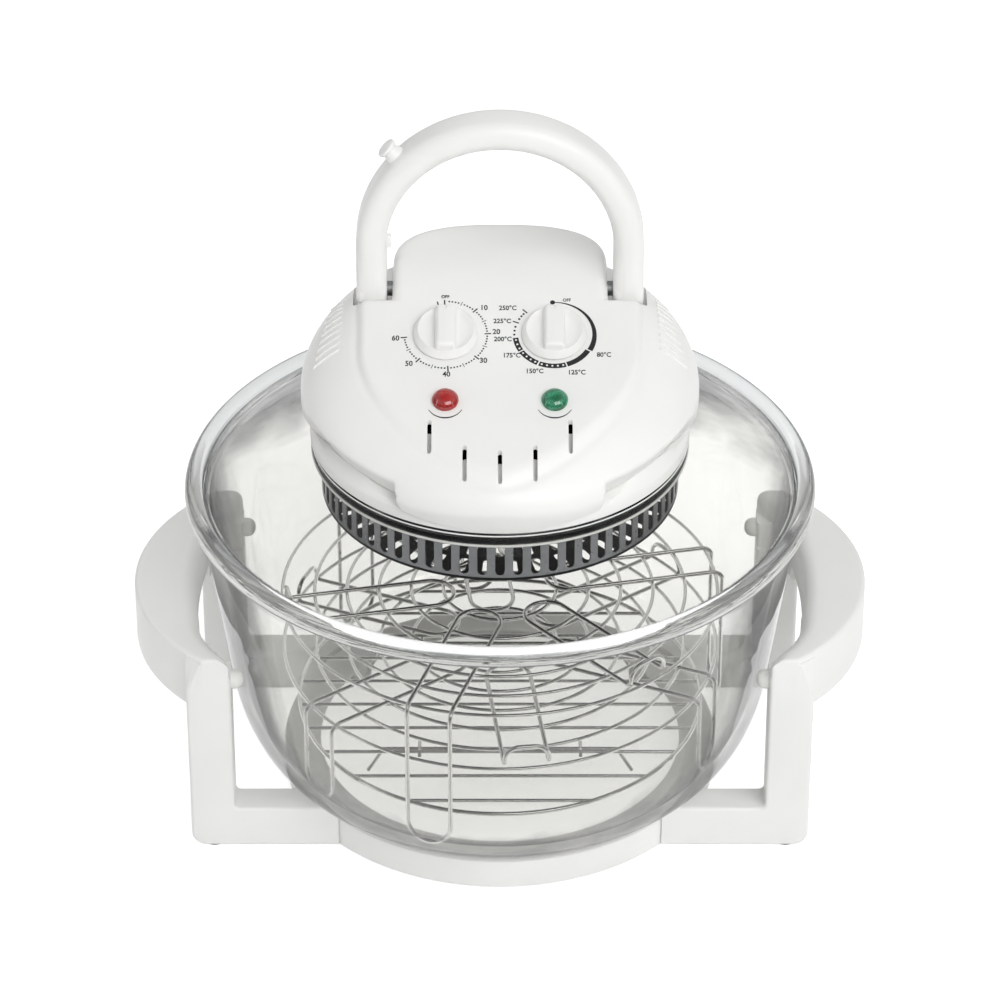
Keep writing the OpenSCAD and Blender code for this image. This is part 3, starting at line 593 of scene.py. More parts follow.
def sliced(bm, spot, normal, **more):
    bmesh.ops.bisect_plane(bm, geom=bm.verts[:] + bm.edges[:] + bm.faces[:], plane_co=spot,
                           plane_no=normal, **more)


def open_edges(bm):
    return [e for e in bm.edges if e.is_boundary]


def uprights(bm, least):
    """Edges that rise by more than this."""
    return [e for e in bm.edges if abs(e.verts[0].co.z - e.verts[1].co.z) > least]


def free_curve(p0, p1, p2, p3, count):
    """Points of a curve from p0 to p3, drawn towards p1 and p2; without its first point."""
    out = []
    for i in range(1, count + 1):
        t = i / count
        out.append(tuple((1 - t) ** 3 * a + 3 * (1 - t) ** 2 * t * b + 3 * (1 - t) * t * t * c
                         + t ** 3 * d for a, b, c, d in zip(p0, p1, p2, p3)))
    return out


def arc(cx, cz, radius, start, end, count):
    angles = [math.radians(start + (end - start) * i / count) for i in range(count + 1)]
    return [(cx + radius * math.cos(a), cz + radius * math.sin(a)) for a in angles]


# %% [markdown]
# The bowl is one pressed glass piece: a flat floor, a wide soft corner, a wall that leans
# out, and a thick rolled rim with a step inside it for the lid. It is a body of revolution,
# so its section is drawn once and spun. The corner is a free curve rather than an arc,
# because pressed glass has no place where an arc could start.
# %% Glass bowl
ROUND = 160
section = [(0, 18.0), (60, 18.0), (100, 18.0)]
section += free_curve((105, 18), (129, 18), (144.3, 44), (148.5, 75), 20)
section += [(152.5, 105), (157, 139), (161.0, 170)]
section += free_curve((161.6, 174.5), (162.3, 180), (164.2, 179.6), (166.6, 180.3), 4)
section += arc(164.9, 185, 5, -55, 90, 12)
section += [(162.4, 190), (161.2, 189.6), (160.4, 188.6), (160.2, 187.4), (160.2, 181.5),
            (159.6, 181), (157.2, 181), (156.6, 180.4), (156.1, 176)]
section += [(155.4, 170), (151.2, 139), (146.8, 105)]
section += free_curve((143, 77), (138.6, 48), (126, 23.2), (102, 23.2), 20)
section += [(60, 23.2), (0, 23.2)]
piece(lathe(section, ROUND, closed=False), "bowl", "bowl", bowl_glass, "glass_bowl")

# %% [markdown]
# The lid is a shallow glass dome with a hole in the middle for the guard. Its edges are
# fire-polished, so both are drawn round.
# %% Glass lid
DOME_R, DOME_Z, LID_T = 284.0, -48.9, 4.5


def dome_line(radius, r_from, r_to, count):
    return [(r, DOME_Z + math.sqrt(radius * radius - r * r))
            for r in np.linspace(r_from, r_to, count + 1)]


outer = dome_line(DOME_R, 98.4, 158.6, 22)
inner = dome_line(DOME_R - LID_T, 157.0, 98.4, 22)
top_z, low_z = outer[0][1], inner[-1][1]
section = outer + [(159.4, 184.6), (159.5, 183.2), (159.1, 181.6), (158.2, 181.1)]
section += inner + [(97.4, low_z + 0.9), (97.0, (top_z + low_z) / 2), (97.4, top_z - 0.9)]
piece(lathe(section, ROUND), "lid", "lid", bowl_glass, "glass_lid")

# %% [markdown]
# The base is a white ring with a rounded top edge and a ledge that carries the bowl. Four
# short bosses under the ledge take the screws of the side frames.
# %% Base ring
SCREW_X, POST_Y, FOOT_X = 82, 73, 156
CORNERS = [(sx, sy) for sx in (-1, 1) for sy in (-1, 1)]
section = [(116.6, 1.0), (119.0, 1.0), (119.8, 1.5), (120, 2.4), (120, 16.6), (119.5, 18.0),
           (118.4, 18.55), (116.8, 18.4), (115.6, 17.95), (102, 17.95), (100.4, 17.5),
           (100, 16.6), (100.5, 15.4), (102, 15.0), (116.5, 15.0)]
ring = solid(lathe(section, ROUND))
for sx, sy in CORNERS:
    ring = weld(ring, rod(6, 6.2, 15.6, 48, at(sx * SCREW_X, sy * POST_Y)))
for sx, sy in CORNERS:
    bar_slot = box_solid((sx * 73, sy * POST_Y - 7.6, -1), (sx * 133, sy * POST_Y + 7.6, 6.2))
    ring = cut(cut(ring, bar_slot), rod(1.5, -1, 14, 24, at(sx * SCREW_X, sy * POST_Y)))
piece(to_bmesh(ring), "base", "stand", white_abs, "base_ring")

# %% [markdown]
# Each side frame is a pair of L-shaped legs. The outline is one face, pushed out to the
# depth of the leg; its heel is rounded first and then every edge gets the small radius
# that a mould needs. The round base and the foot of the bowl are cut out of it.
# %% Side frames
LEG_X, LEG_Z, LEG_IN_X, LEG_IN_Z, LEG_END_X, LEG_D = 168, 97, 144, 26, 88, 20
EDGE = 2.2


def leg(sy):
    y = sy * POST_Y
    bm = bmesh.new()
    outline = [(LEG_END_X, 1), (LEG_X, 1), (LEG_X, LEG_Z), (LEG_IN_X, LEG_Z),
               (LEG_IN_X, LEG_IN_Z), (LEG_END_X, LEG_IN_Z)]
    push(bm, bm.faces.new([bm.verts.new((x, y - LEG_D / 2, z)) for x, z in outline]),
         (0, LEG_D, 0))
    bmesh.ops.recalc_face_normals(bm, faces=bm.faces)
    for x, z, size, segments in ((LEG_X, 1, 8, 8), (LEG_IN_X, LEG_IN_Z, 3, 4)):
        heel = [e for e in bm.edges
                if all(abs(v.co.x - x) < 0.1 and abs(v.co.z - z) < 0.1 for v in e.verts)]
        round_edges(bm, heel, size, segments)
    rims = [e for e in bm.edges if e.is_manifold and e.calc_face_angle(0) > 1.2
            and not all(v.co.z > LEG_Z - 0.1 for v in e.verts)
            and not all(v.co.x < LEG_END_X + 0.1 for v in e.verts)]
    round_edges(bm, rims, EDGE)
    out = cut(solid(bm), rod(120.1, -1, 60, 192))
    foot_of_bowl = [(0, 17.3), (105, 17.3)]
    foot_of_bowl += free_curve((105, 17.3), (129.5, 17.3), (145.0, 43.8), (149.2, 75), 24)
    out = cut(out, solid(lathe(foot_of_bowl + [(0, 75)], ROUND, closed=False)))
    out = weld(out, box_solid((74, y - 7, 3), (124, y + 7, 6)))
    out = cut(out, rod(8.05, -1, 2.5, 48, at(FOOT_X, y)))
    return cut(out, rod(1.7, -1, 10, 24, at(SCREW_X, y)))


for side, name in ((-1, "left"), (1, "right")):
    legs = to_bmesh(weld(leg(-1), leg(1)))
    piece(other_side(legs, side), "frame_" + name, "stand", white_abs, "side_frame_" + name)

# %% [markdown]
# The handles are crescents in plan. Their outline is drawn from the two circles of the
# real one, pushed up to the height of the grip, and bevelled well over so that the hand
# meets a soft roll on top with one bright line along it.
# %% Side handles
OUTER_X, OUTER_R, INNER_X, INNER_R = 94.5, 105, -65, 230
GRIP_HALF, GRIP_TOP, GRIP_LOW, ROLL = 83, 125.0, 90.0, 9.0
NUB_Z = 106


def to_line(x, y, line):
    """Distance from a point to a line of several stretches."""
    best = 1e9
    for (x0, y0), (x1, y1) in zip(line, line[1:]):
        dx, dy = x1 - x0, y1 - y0
        t = max(0.0, min(1.0, ((x - x0) * dx + (y - y0) * dy) / (dx * dx + dy * dy)))
        best = min(best, math.hypot(x - x0 - t * dx, y - y0 - t * dy))
    return best


def post_block(corner, opposite):
    """A block whose upright edges have the radius of the post below it."""
    bm = block(corner, opposite)
    round_edges(bm, uprights(bm, 1), EDGE)
    return solid(bm)


def crescent():
    outer = [(OUTER_X + math.sqrt(OUTER_R ** 2 - y * y), y)
             for y in np.linspace(-GRIP_HALF, GRIP_HALF, 49)]
    inner = [(144, 83), (145.2, 78), (149.0, 71.3), (155.2, 63.0), (160.3, 52.0),
             (162.6, 42.0)]
    inner += [(INNER_X + math.sqrt(INNER_R ** 2 - y * y) + 0.4, y)
              for y in np.linspace(34, 0, 9)]
    inner += [(x, -y) for x, y in reversed(inner[:-1])]
    bm = bmesh.new()
    push(bm, bm.faces.new([bm.verts.new((x, y, GRIP_LOW)) for x, y in outer + inner]),
         (0, 0, GRIP_TOP - GRIP_LOW))
    bmesh.ops.recalc_face_normals(bm, faces=bm.faces)
    round_edges(bm, [e for e in bm.edges
                     if all(v.co.x < LEG_IN_X + 0.1 and abs(v.co.y) > GRIP_HALF - 0.1
                            for v in e.verts)], EDGE)
    for level, whole, size in ((GRIP_TOP, False, EDGE), (GRIP_LOW, True, 2.0)):
        rim = []
        for e in bm.edges:
            mid = (e.verts[0].co + e.verts[1].co) / 2
            outside = (math.hypot(mid.x - OUTER_X, mid.y) > OUTER_R - 0.4
                       or abs(mid.y) > GRIP_HALF - 1.8)
            if all(abs(v.co.z - level) < 0.01 for v in e.verts) and (whole or outside):
                rim.append(e)
        round_edges(bm, rim, size)
    # a fine net on the upper face lets the inner side be rolled over softly
    for x in np.arange(145.5, 199, 1.6):
        sliced(bm, (x, 0, 0), (1, 0, 0))
    for y in np.arange(-80.5, 82, 3.5):
        sliced(bm, (0, y, 0), (0, 1, 0))
    for v in bm.verts:
        if v.co.z > GRIP_TOP - 3:
            away = to_line(v.co.x, v.co.y, inner)
            if away < ROLL:
                rolled = GRIP_TOP - ROLL + math.sqrt(ROLL ** 2 - (ROLL - away) ** 2)
                v.co.z = min(v.co.z, rolled)
    return solid(bm)


def hollow_under():
    """What rounds the under side of the grip away towards the bowl."""
    under = [(200, 80), (200, 106), (229, 106)]
    under += free_curve((229, 106), (231.5, 98), (236, 92.5), (246, 89.9), 8) + [(246, 80)]
    bm = put(lathe(under, 720), at(INNER_X, 0))
    for spot, way in (((0, -44, 0), (0, -1, 0)), ((0, 44, 0), (0, 1, 0)),
                      ((100, 0, 0), (-1, 0, 0))):
        sliced(bm, spot, way, clear_outer=True)
        bmesh.ops.holes_fill(bm, edges=open_edges(bm))
    return solid(bm)


def side_handle():
    grip = cut(crescent(), hollow_under())
    for sy in (-1, 1):
        grip = cut(grip, box_solid((140, sy * 62.9, 80), (168.3, sy * 90, LEG_Z)))
        # under the outer line the block keeps the full corner of the post
        taper = solid(put(cone(111.6, OUTER_R, 28, 192), at(OUTER_X, 0, 111)))
        column = post_block((153, sy * 71.0, LEG_Z), (LEG_X, sy * GRIP_HALF, 122.0))
        grip = weld(grip, trim(column, taper),
                    post_block((LEG_IN_X, sy * 66.0, LEG_Z), (160, sy * GRIP_HALF, 112.5)))
        grip = cut(grip, rod(2.05, 140, 150, 24, at(0, sy * POST_Y, NUB_Z) @ turned(90, "Y")))
    return to_bmesh(grip)


for side, name in ((-1, "left"), (1, "right")):
    piece(other_side(side_handle(), side), "grip_" + name, "stand", white_abs,
          "handle_" + name, sharp=40)

# %% [markdown]
# Four silicone buttons keep the bowl off the posts. Each is a small spun dome with a stem
# that plugs into the handle's block.
# %% Bumper buttons
BUTTON = [(0, 137.2), (2.2, 137.5), (4.0, 138.6), (5.0, 140.4), (5.3, 142.2), (5.3, 144),
          (2.0, 144), (2.0, 149.5), (0, 149.5)]
buttons = []
for sx, sy in CORNERS:
    place = at(0, sy * POST_Y, NUB_Z) @ turned(sx * 90, "Y")
    buttons.append(solid(put(lathe(BUTTON, 40, closed=False), place)))
piece(to_bmesh(weld(*buttons)), "bumper_buttons", "stand", white_rubber, "bumper_nubs")

# %% [markdown]
# The heating head is the one free-form shape. A spun mesh has even, clean rings, but the
# head is a dome cut by a sloping panel, with a roof behind it and two finger scoops. So the
# mesh starts as a spun ball, and each of its points is pushed out along its own ray until
# it meets a surface written as a formula: distances to simple solids, joined and cut with
# soft minimum and maximum, which gives every seam the radius of a moulded part.
# %% Soft joins, and the panel's place
TILT_DEGREES = 22
TILT = math.radians(TILT_DEGREES)
PANEL_Y, PANEL_Z = -90.0, 251.0
PANEL_FOOT = np.array([0.0, PANEL_Y, PANEL_Z])
PANEL_NORMAL = np.array([0.0, -math.sin(TILT), math.cos(TILT)])


def soft_max(a, b, k):
    h = np.maximum(k - np.abs(a - b), 0) / k
    return np.maximum(a, b) + h * h * k / 4


def soft_min(a, b, k):
    return -soft_max(-a, -b, k)


def smooth_step(x):
    t = np.clip(x, 0, 1)
    return t * t * (3 - 2 * t)


# %% [markdown]
# Seen from above, the raised panel has a rounded front, straight sides and small rear
# corners. How far a point lies from that outline is worked out once for a fine grid and
# looked up after that.
# %% Outline of the panel
PANEL_W, PANEL_FRONT, PANEL_REAR = 75.5, -98.0, 14.5
FRONT_LONG, FRONT_SWEEP, REAR_CORNER = 82, 0.73, 5
GRID_STEP = 0.5
GRID_X = np.arange(-1, 113, GRID_STEP)
GRID_Y = np.arange(-112, 112, GRID_STEP)


def distance_table(points):
    """Signed distance to an outline given for x >= 0, negative inside it."""
    pts = np.array(points)
    gx, gy = np.meshgrid(GRID_X, GRID_Y, indexing="ij")
    q = np.stack([gx.ravel(), gy.ravel()], 1)
    best = np.full(len(q), 1e9)
    for p0, p1 in zip(pts[:-1], pts[1:]):
        seg = p1 - p0
        t = np.clip(((q - p0) @ seg) / (seg @ seg), 0, 1)
        best = np.minimum(best, np.hypot(*(q - p0 - t[:, None] * seg).T))
    across = np.clip(np.abs(q[:, 0]) / PANEL_W, 0, 1)
    front = PANEL_FRONT + FRONT_LONG * (1 - np.sqrt(1 - across ** 2)) ** FRONT_SWEEP
    inside = (np.abs(q[:, 0]) < PANEL_W) & (q[:, 1] > front) & (q[:, 1] < pts[-1][1])
    return np.where(inside, -best, best).reshape(gx.shape)


def look_up(table, x, y):
    gx = np.clip((np.abs(x) - GRID_X[0]) / GRID_STEP, 0, len(GRID_X) - 1.001)
    gy = np.clip((y - GRID_Y[0]) / GRID_STEP, 0, len(GRID_Y) - 1.001)
    i, j = gx.astype(int), gy.astype(int)
    fx, fy = gx - i, gy - j
    return ((table[i, j] * (1 - fx) + table[i + 1, j] * fx) * (1 - fy)
            + (table[i, j + 1] * (1 - fx) + table[i + 1, j + 1] * fx) * fy)


QUARTER = math.pi / 2
front_line = [(PANEL_W * math.sin(a), PANEL_FRONT + FRONT_LONG * (1 - math.cos(a)) ** FRONT_SWEEP)
              for a in np.linspace(0, QUARTER, 60)]
corner = [(PANEL_W - REAR_CORNER + REAR_CORNER * math.cos(a),
           PANEL_REAR - REAR_CORNER + REAR_CORNER * math.sin(a))
          for a in np.linspace(0, QUARTER, 8)]
open_panel = distance_table(front_line + [(PANEL_W, 300.0)])
shut_panel = distance_table(front_line + corner + [(0.0, PANEL_REAR)])
print("outline of the panel in", len(front_line + corner), "points")

# %% [markdown]
# The formula itself. The body is a dome under sloping shoulders, with a cone cut into it on
# both sides of the nose for the fingers. The panel and the roof are laid on top.
# %% The head as a formula
HEAD_R, HEAD_Z, RISE_UP, RISE_DOWN, ROOF_TOP = 106, 245, 64.0, 92.0, 300
SHOULDER_DROP, ROOF_X, ROOF_FRONT, ROOF_REAR = 4, 57, -18, 42
ROOF_LONG, ROOF_POWER, ROOF_SPAN = 38, 0.385, 44
SCOOP_R, SCOOP_Z, SCOOP_LEAN, SCOOP_FROM, SCOOP_TO = 96, 231, 0.62, 33, 70
ARC_PER_DEGREE = 0.0175


def head_shape(p):
    """Below zero inside the head. p holds one point a row, in millimetres."""
    x, y, z = p.T
    rise = np.where(z > HEAD_Z, RISE_UP, RISE_DOWN)
    up = z - HEAD_Z
    k0 = np.sqrt((x / HEAD_R) ** 2 + (y / HEAD_R) ** 2 + (up / rise) ** 2)
    k1 = np.sqrt((x / HEAD_R ** 2) ** 2 + (y / HEAD_R ** 2) ** 2 + (up / rise ** 2) ** 2)
    dome = k0 * (k0 - 1) / np.maximum(k1, 1e-9)
    top = soft_max((p - PANEL_FOOT) @ PANEL_NORMAL, z - ROOF_TOP, 9.0)
    # shoulders: four millimetres below the panel at its foot, then falling away
    t = np.maximum(look_up(open_panel, x, y) - 1.2, 0)
    shoulder = top + SHOULDER_DROP + 0.50 * t * t / (t + 2.0) + 0.006 * t * t
    body = soft_max(dome, shoulder, 8.0)
    # finger scoops on both sides of the nose
    turn = np.degrees(np.arctan2(np.abs(x), -y))
    radius = np.hypot(x, y)
    funnel = (radius - SCOOP_R - (z - SCOOP_Z) * SCOOP_LEAN) * 0.85
    near = np.maximum(SCOOP_FROM - turn, 0) * radius * ARC_PER_DEGREE
    far = np.maximum(turn - SCOOP_TO, 0) * radius * ARC_PER_DEGREE
    body = soft_max(body, funnel - near * 2.2 - far * 0.28, 2.0)
    # the raised panel with its rolled edge
    d = -look_up(shut_panel, x, y)
    roll = 4.5 + 4.0 * smooth_step((-25 - y) / 60)
    q = np.clip(d / roll, 0, 1)
    panel = np.maximum(top + SHOULDER_DROP * (1 - q) ** 1.9, -d)
    # the roof behind the panel; each meets the dome with its own fillet
    back = np.maximum(y - ROOF_REAR, 0) / ROOF_LONG
    ring_r = ((np.abs(x) / ROOF_X) ** (1 / ROOF_POWER) + back ** (1 / ROOF_POWER)) ** ROOF_POWER
    plan = np.where(y > ROOF_REAR, (ring_r - 1) * ROOF_SPAN, np.abs(x) - ROOF_X)
    roof = np.maximum(soft_max(top, plan, 6.0), ROOF_FRONT - y)
    return np.minimum(soft_min(body, panel, 1.5), soft_min(body, roof, 1.5))


# %% [markdown]
# The parting line between the shell and the ring below it rises and falls: low at the
# nose, high in the scoops. The table gives its height by angle from the front. A ball of
# mesh is wrapped on the formula, down to that line or, for the tools that hollow the shell
# out, at some depth under its skin.
# %% Wrapping a mesh on the formula
SEAM_ANGLE = [0, 8.5, 17, 27, 31, 36, 46, 55, 62, 70, 78, 90, 180]
SEAM_HEIGHT = [219.8, 220.2, 221.8, 225.2, 226, 227, 231.5, 232.5, 231, 228.5, 227, 227, 228]
HEART = np.array([0.0, 0.0, 200.0])


def seam_height(x, y):
    return np.interp(np.degrees(np.arctan2(np.abs(x), -y)), SEAM_ANGLE, SEAM_HEIGHT)


def reach(rays):
    """How far each ray from the heart of the head runs before it leaves the shape."""
    near, far = np.full(len(rays), 30.0), np.full(len(rays), 170.0)
    for _ in range(22):
        mid = (near + far) / 2
        out = head_shape(HEART + rays * mid[:, None]) > 0
        far = np.where(out, mid, far)
        near = np.where(out, near, mid)
    return (near + far) / 2


def ball(around, rows, wall, follow_seam):
    bm = bmesh.new()
    spin(bm, [(math.cos(a), math.sin(a)) for a in np.linspace(0, QUARTER, rows)], around, False)
    bmesh.ops.remove_doubles(bm, verts=bm.verts, dist=1e-5)
    co = np.array([v.co[:] for v in bm.verts])
    turn = np.arctan2(co[:, 1], co[:, 0])
    share = np.arcsin(np.clip(co[:, 2], -1, 1)) / QUARTER
    flat = np.stack([np.cos(turn), np.sin(turn)], 1)
    low = np.full(len(co), 0.16 if follow_seam else 0.03)
    if follow_seam:
        # the elevation at which the shape crosses the seam, found by stepping towards it
        seam = seam_height(flat[:, 0], flat[:, 1])
        for _ in range(12):
            rays = np.column_stack([flat * np.cos(low)[:, None], np.sin(low)])
            low = np.arctan2(seam - HEART[2], reach(rays) * np.cos(low))
    lift = low + (QUARTER - low) * share
    rays = np.column_stack([flat * np.cos(lift)[:, None], np.sin(lift)])
    for v, spot in zip(bm.verts, HEART + rays * (reach(rays) - wall)[:, None]):
        v.co = spot
    grown = bmesh.ops.extrude_edge_only(bm, edges=open_edges(bm))["geom"]
    for v in grown:
        if isinstance(v, bmesh.types.BMVert):
            v.co.x *= 0.86
            v.co.y *= 0.86
    bmesh.ops.contextual_create(bm, geom=open_edges(bm))
    bmesh.ops.triangulate(bm, faces=[f for f in bm.faces if len(f.verts) > 4])
    return bm


def inner_ball(depth):
    return solid(ball(144, 60, depth, False))


# %% [markdown]
# The shell is hollowed to a three-millimetre wall. Two pockets beside the roof leave room
# for the carry handle's legs, and ten low ribs stand on each cheek.
# %% Shell of the head
POCKET_X, POCKET_Y, POCKET_Z, POCKET_WALL = (57.0, 78.0), (15, 74), 275.8, 2.4
RIBS, RIB_PITCH = 10, 4.4
blades = []
for sx in (-1, 1):
    for i in range(RIBS):
        y = -11 + RIB_PITCH * i
        blades.append(box_solid((sx * (84.6 - 0.15 * i), y - 0.6, 236),
                                (sx * (98.4 - 0.9 * i), y + 0.6, 300)))
ribs = cut(trim(inner_ball(-1.0), weld(*blades)), inner_ball(1.5))
print("rib faces", len(ribs.data.polygons))
around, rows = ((360, 140))
shell = solid(ball(around, rows, 0.0, True))
hollow = inner_ball(3.0)
for sx in (-1, 1):
    shell = cut(shell, box_solid((sx * POCKET_X[0], POCKET_Y[0], POCKET_Z),
                                 (sx * POCKET_X[1], POCKET_Y[1], 340), round_by=1.2))
    hollow = cut(hollow, box_solid(
        (sx * (POCKET_X[0] - POCKET_WALL), POCKET_Y[0] - POCKET_WALL, POCKET_Z - POCKET_WALL),
        (sx * (POCKET_X[1] + POCKET_WALL), POCKET_Y[1] + POCKET_WALL, 340)))
shell = weld(cut(shell, hollow), ribs)
print("shell faces", len(shell.data.polygons))

# %% [markdown]
# Openings come last. Behind each of the five vents over the nose hangs a small trough that
# keeps drips off the motor; only its upper end is open, so that part of a vent is black. The
# holes for the knob shafts, the lenses and the cord are cut straight through.
# %% Openings in the shell
KNOB_X, KNOB_V, LENS_V = 28.5, 86.3, 43.7
VENTS = ((-36.6, -78), (-18.3, -93), (0, -96), (18.3, -93), (36.6, -78))
VENT_LONG, VENT_DEEP, TROUGH_WALL = 17.0, 7.0, 1.8


def on_panel(x, v, lift=0.0):
    """The place x across the panel and v up it, turned to face along its normal."""
    return (at(x, PANEL_Y + v * math.cos(TILT), PANEL_Z + v * math.sin(TILT))
            @ turned(TILT_DEGREES, "X") @ at(0, 0, lift))


def vent_posts(y_from, length, wide):
    bm = bmesh.new()
    for x, y0 in VENTS:
        place = at(x, y0 + y_from + length / 2, 258) @ Matrix.Diagonal((wide, length, 60, 1))
        bmesh.ops.create_cube(bm, size=1, matrix=place)
    round_edges(bm, uprights(bm, 10), 0.98)
    return solid(bm)


troughs = trim(vent_posts(-2.0, 16.8, 5.6), inner_ball(1.0))
shell = weld(shell, cut(troughs, inner_ball(VENT_DEEP + TROUGH_WALL)))
shell = cut(shell, cut(vent_posts(0.0, VENT_LONG, 2.2), inner_ball(VENT_DEEP)))
for sx in (-1, 1):
    for v, radius in ((KNOB_V, 4.2), (LENS_V, 5.6)):
        shell = cut(shell, rod(radius, -12, 12, 48, on_panel(sx * KNOB_X, v)))
shell = cut(shell, rod(7.2, 80, 130, 48, at(0, 0, 240) @ turned(-90, "X")))
piece(to_bmesh(shell), "head_shell", "lid", white_abs, "upper_housing", sharp=42)

# %% [markdown]
# Under the shell sits a lower ring. Its front is hidden by the nose, and on both sides its
# folded shoulder shows as a bright crescent. It is spun, then every point that would reach
# into the shell is pressed down to the parting line.
# %% Lower ring of the head
WAIST_R = 97
outside = [(98.2, 218.2), (100.8, 218.2), (101.5, 218.9), (101.5, 224.2), (101.1, 225.2),
           (99.4, 227.6), (96.6, 231.0), (96.0, 231.5), (92.0, 231.6)]
inside = [(92.0, 230.1), (95.2, 229.9), (97.9, 226.6), (98.6, 224.0)]
bm = lathe(outside + inside, 240)
for v in bm.verts:
    span = math.hypot(v.co.x, v.co.y)
    seam = float(seam_height(v.co.x, v.co.y))
    under = min(math.dist((span, v.co.z), p) for p in inside) < 0.1
    v.co.z = min(v.co.z, max(218.3, seam - 1.7) if under else seam - 0.3)
    if span < WAIST_R and v.co.z < 224:
        v.co.x *= WAIST_R / span
        v.co.y *= WAIST_R / span
piece(bm, "head_skirt", "lid", white_abs, "skirt")

# %% [markdown]
# The guard ring is thin steel, spun with a flange on top; its sixty-four slots have round
# ends. All the cutters are made as one mesh and taken away together.
# %% Guard ring
SLOTS, GUARD_R = 64, 96
section = [(95.0, 186.8), (95.6, 186.8), (96.0, 187.3), (96.0, 209.0), (96.5, 209.4),
           (100.9, 209.4), (101.0, 209.6), (101.0, 210.4), (100.8, 210.6), (95.0, 210.6)]
guard = solid(lathe(section, 256))
bm = bmesh.new()
for i in range(SLOTS):
    place = (Matrix.Rotation(i * math.tau / SLOTS, 4, "Z") @ at(GUARD_R, 0, 198.3)
             @ Matrix.Diagonal((6, 5, 19, 1)))
    bmesh.ops.create_cube(bm, size=1, matrix=place)
long_way = []
for e in bm.edges:
    run = e.verts[1].co - e.verts[0].co
    mid = (e.verts[0].co + e.verts[1].co) / 2
    if abs(run.z) < 0.1 and abs(run.x * mid.x + run.y * mid.y) > 5.5 * math.hypot(mid.x, mid.y):
        long_way.append(e)
round_edges(bm, long_way, 2.45, 6)
piece(to_bmesh(cut(guard, solid(bm))), "guard", "lid", guard_steel, "guard_ring")

# %% [markdown]
# Between the ring and the lid's glass sits a silicone seal with a full round outside. A
# thinner seal lies under the glass. From the front the joint shows as black lines with two
# narrow bright highlights between them; these are painted highlights, two thin rings of pale
# plastic spun into the joint: one round the upper seal and one on the guard's flange.
# %% Lid seals
SEAL_ROUND = 200
over = [z + 0.1 for r, z in dome_line(DOME_R, 97.8, 100.6, 1)]
under = [z - 0.1 for r, z in dome_line(DOME_R - LID_T, 97.3, 100.6, 1)]
bm = lathe([(97.7, over[0]), (100.2, over[1]), (100.9, 214.6), (101.0, 215.8), (100.8, 217.0),
            (100.0, 218.0), (98.4, 218.15), (97.7, 217.8)], SEAL_ROUND)
lathe([(97.3, 210.65), (100.4, 210.65), (100.7, under[1] - 0.2), (100.5, under[1]),
       (97.3, under[0])], SEAL_ROUND, bm=bm)
piece(bm, "lid_seals", "lid", gasket_silicone, "lid_gaskets")
# painted highlights: two pale rings stand for the bright lines in the joint
bm = bmesh.new()
for low, high in ((216.0, 216.9), (209.7, 210.9)):
    lathe([(100.4, low), (101.1, low + 0.1), (101.25, (low + high) / 2), (101.1, high - 0.1),
           (100.4, high)], SEAL_ROUND, bm=bm)
piece(bm, "painted_highlight_rings", "lid", white_abs, slot_like="skirt")

# %% [markdown]
# Both knobs are alike: a round dish with a wide grip bar across it. The dish is spun and
# the bar is a block whose edges are bevelled over; the two are joined into one solid.
# %% Knobs
DISH = [(3.2, 0.6), (16.6, 0.6), (17, 0.9), (17, 1.7), (16.6, 2.1), (15.2, 5.0), (14.7, 5.5),
        (14.1, 5.3), (13.0, 4.5), (10.5, 4.1), (3.2, 4.0)]


def knob():
    bm = block((-6.25, -14.6, 1.4), (6.25, 14.6, 9.8))
    for v in bm.verts:
        if v.co.z > 8:
            v.co.x *= 0.78
            v.co.y *= 0.90
    tops = [e for e in bm.edges if all(v.co.z > 8 for v in e.verts)]
    round_edges(bm, tops + uprights(bm, 5), 1.8, 5)
    bar = trim(solid(bm), rod(14.9, -2, 20, 96))
    disc = weld(solid(lathe(DISH, 96)), bar)
    disc = cut(disc, rod(3.05, -1, 7.7, 32))
    return to_bmesh(cut(disc, box_solid((-0.5, 9.6, 9.0), (0.5, 12.0, 18), round_by=0.2)))


for name, sx in (("timer", -1), ("temperature", 1)):
    bm = put(knob(), on_panel(sx * KNOB_X, KNOB_V))
    piece(bm, name + "_knob_moulded", name + "_dial", white_abs, name + "_knob", sharp=40)

# %% [markdown]
# The two signal lenses have a smooth cap over sixteen facets. Facets are made by pushing
# every other spoke of the spun inner face in and out.
# %% Signal lenses
FACETS = 16
CAP = [(0, 4.8), (2.6, 4.55), (4.8, 3.8), (6.0, 2.7), (6.5, 1.9), (6.9, 1.4), (7.0, 0.9),
       (6.9, 0.05), (5.5, 0.0), (5.5, -9), (4.2, -9), (4.2, 0.2), (3.0, 1.6), (0, 3.2)]
for name, sx, finish in (("red_lens", -1, red_lens), ("green_lens", 1, green_lens)):
    bm = lathe(CAP, 64, closed=False)
    for v in bm.verts:
        span = math.hypot(v.co.x, v.co.y)
        if (2.5 < span < 4.4 and 0 < v.co.z < 2) or (abs(v.co.z - 3.2) < 0.01):
            turn = math.atan2(v.co.y, v.co.x)
            v.co.z += 0.5 * abs(((turn / math.tau * FACETS) % 1) * 2 - 1)
    piece(put(bm, on_panel(sx * KNOB_X, LENS_V)), name + "_cap", "lid", finish, name)

# %% [markdown]
# Numbers, dots and rings are printed on the panel. Print is a film of ink, so each mark is
# a flat outline, given a few hundredths of a millimetre of thickness and laid on the
# panel's plane. Digits start as text objects in Blender's own font and become mesh before
# they are placed.
# %% Marks of the printing
INK_THICK, INK_LIFT = 0.05, 0.03


def clock(angle, radius):
    a = math.radians(angle)
    return radius * math.sin(a), radius * math.cos(a)


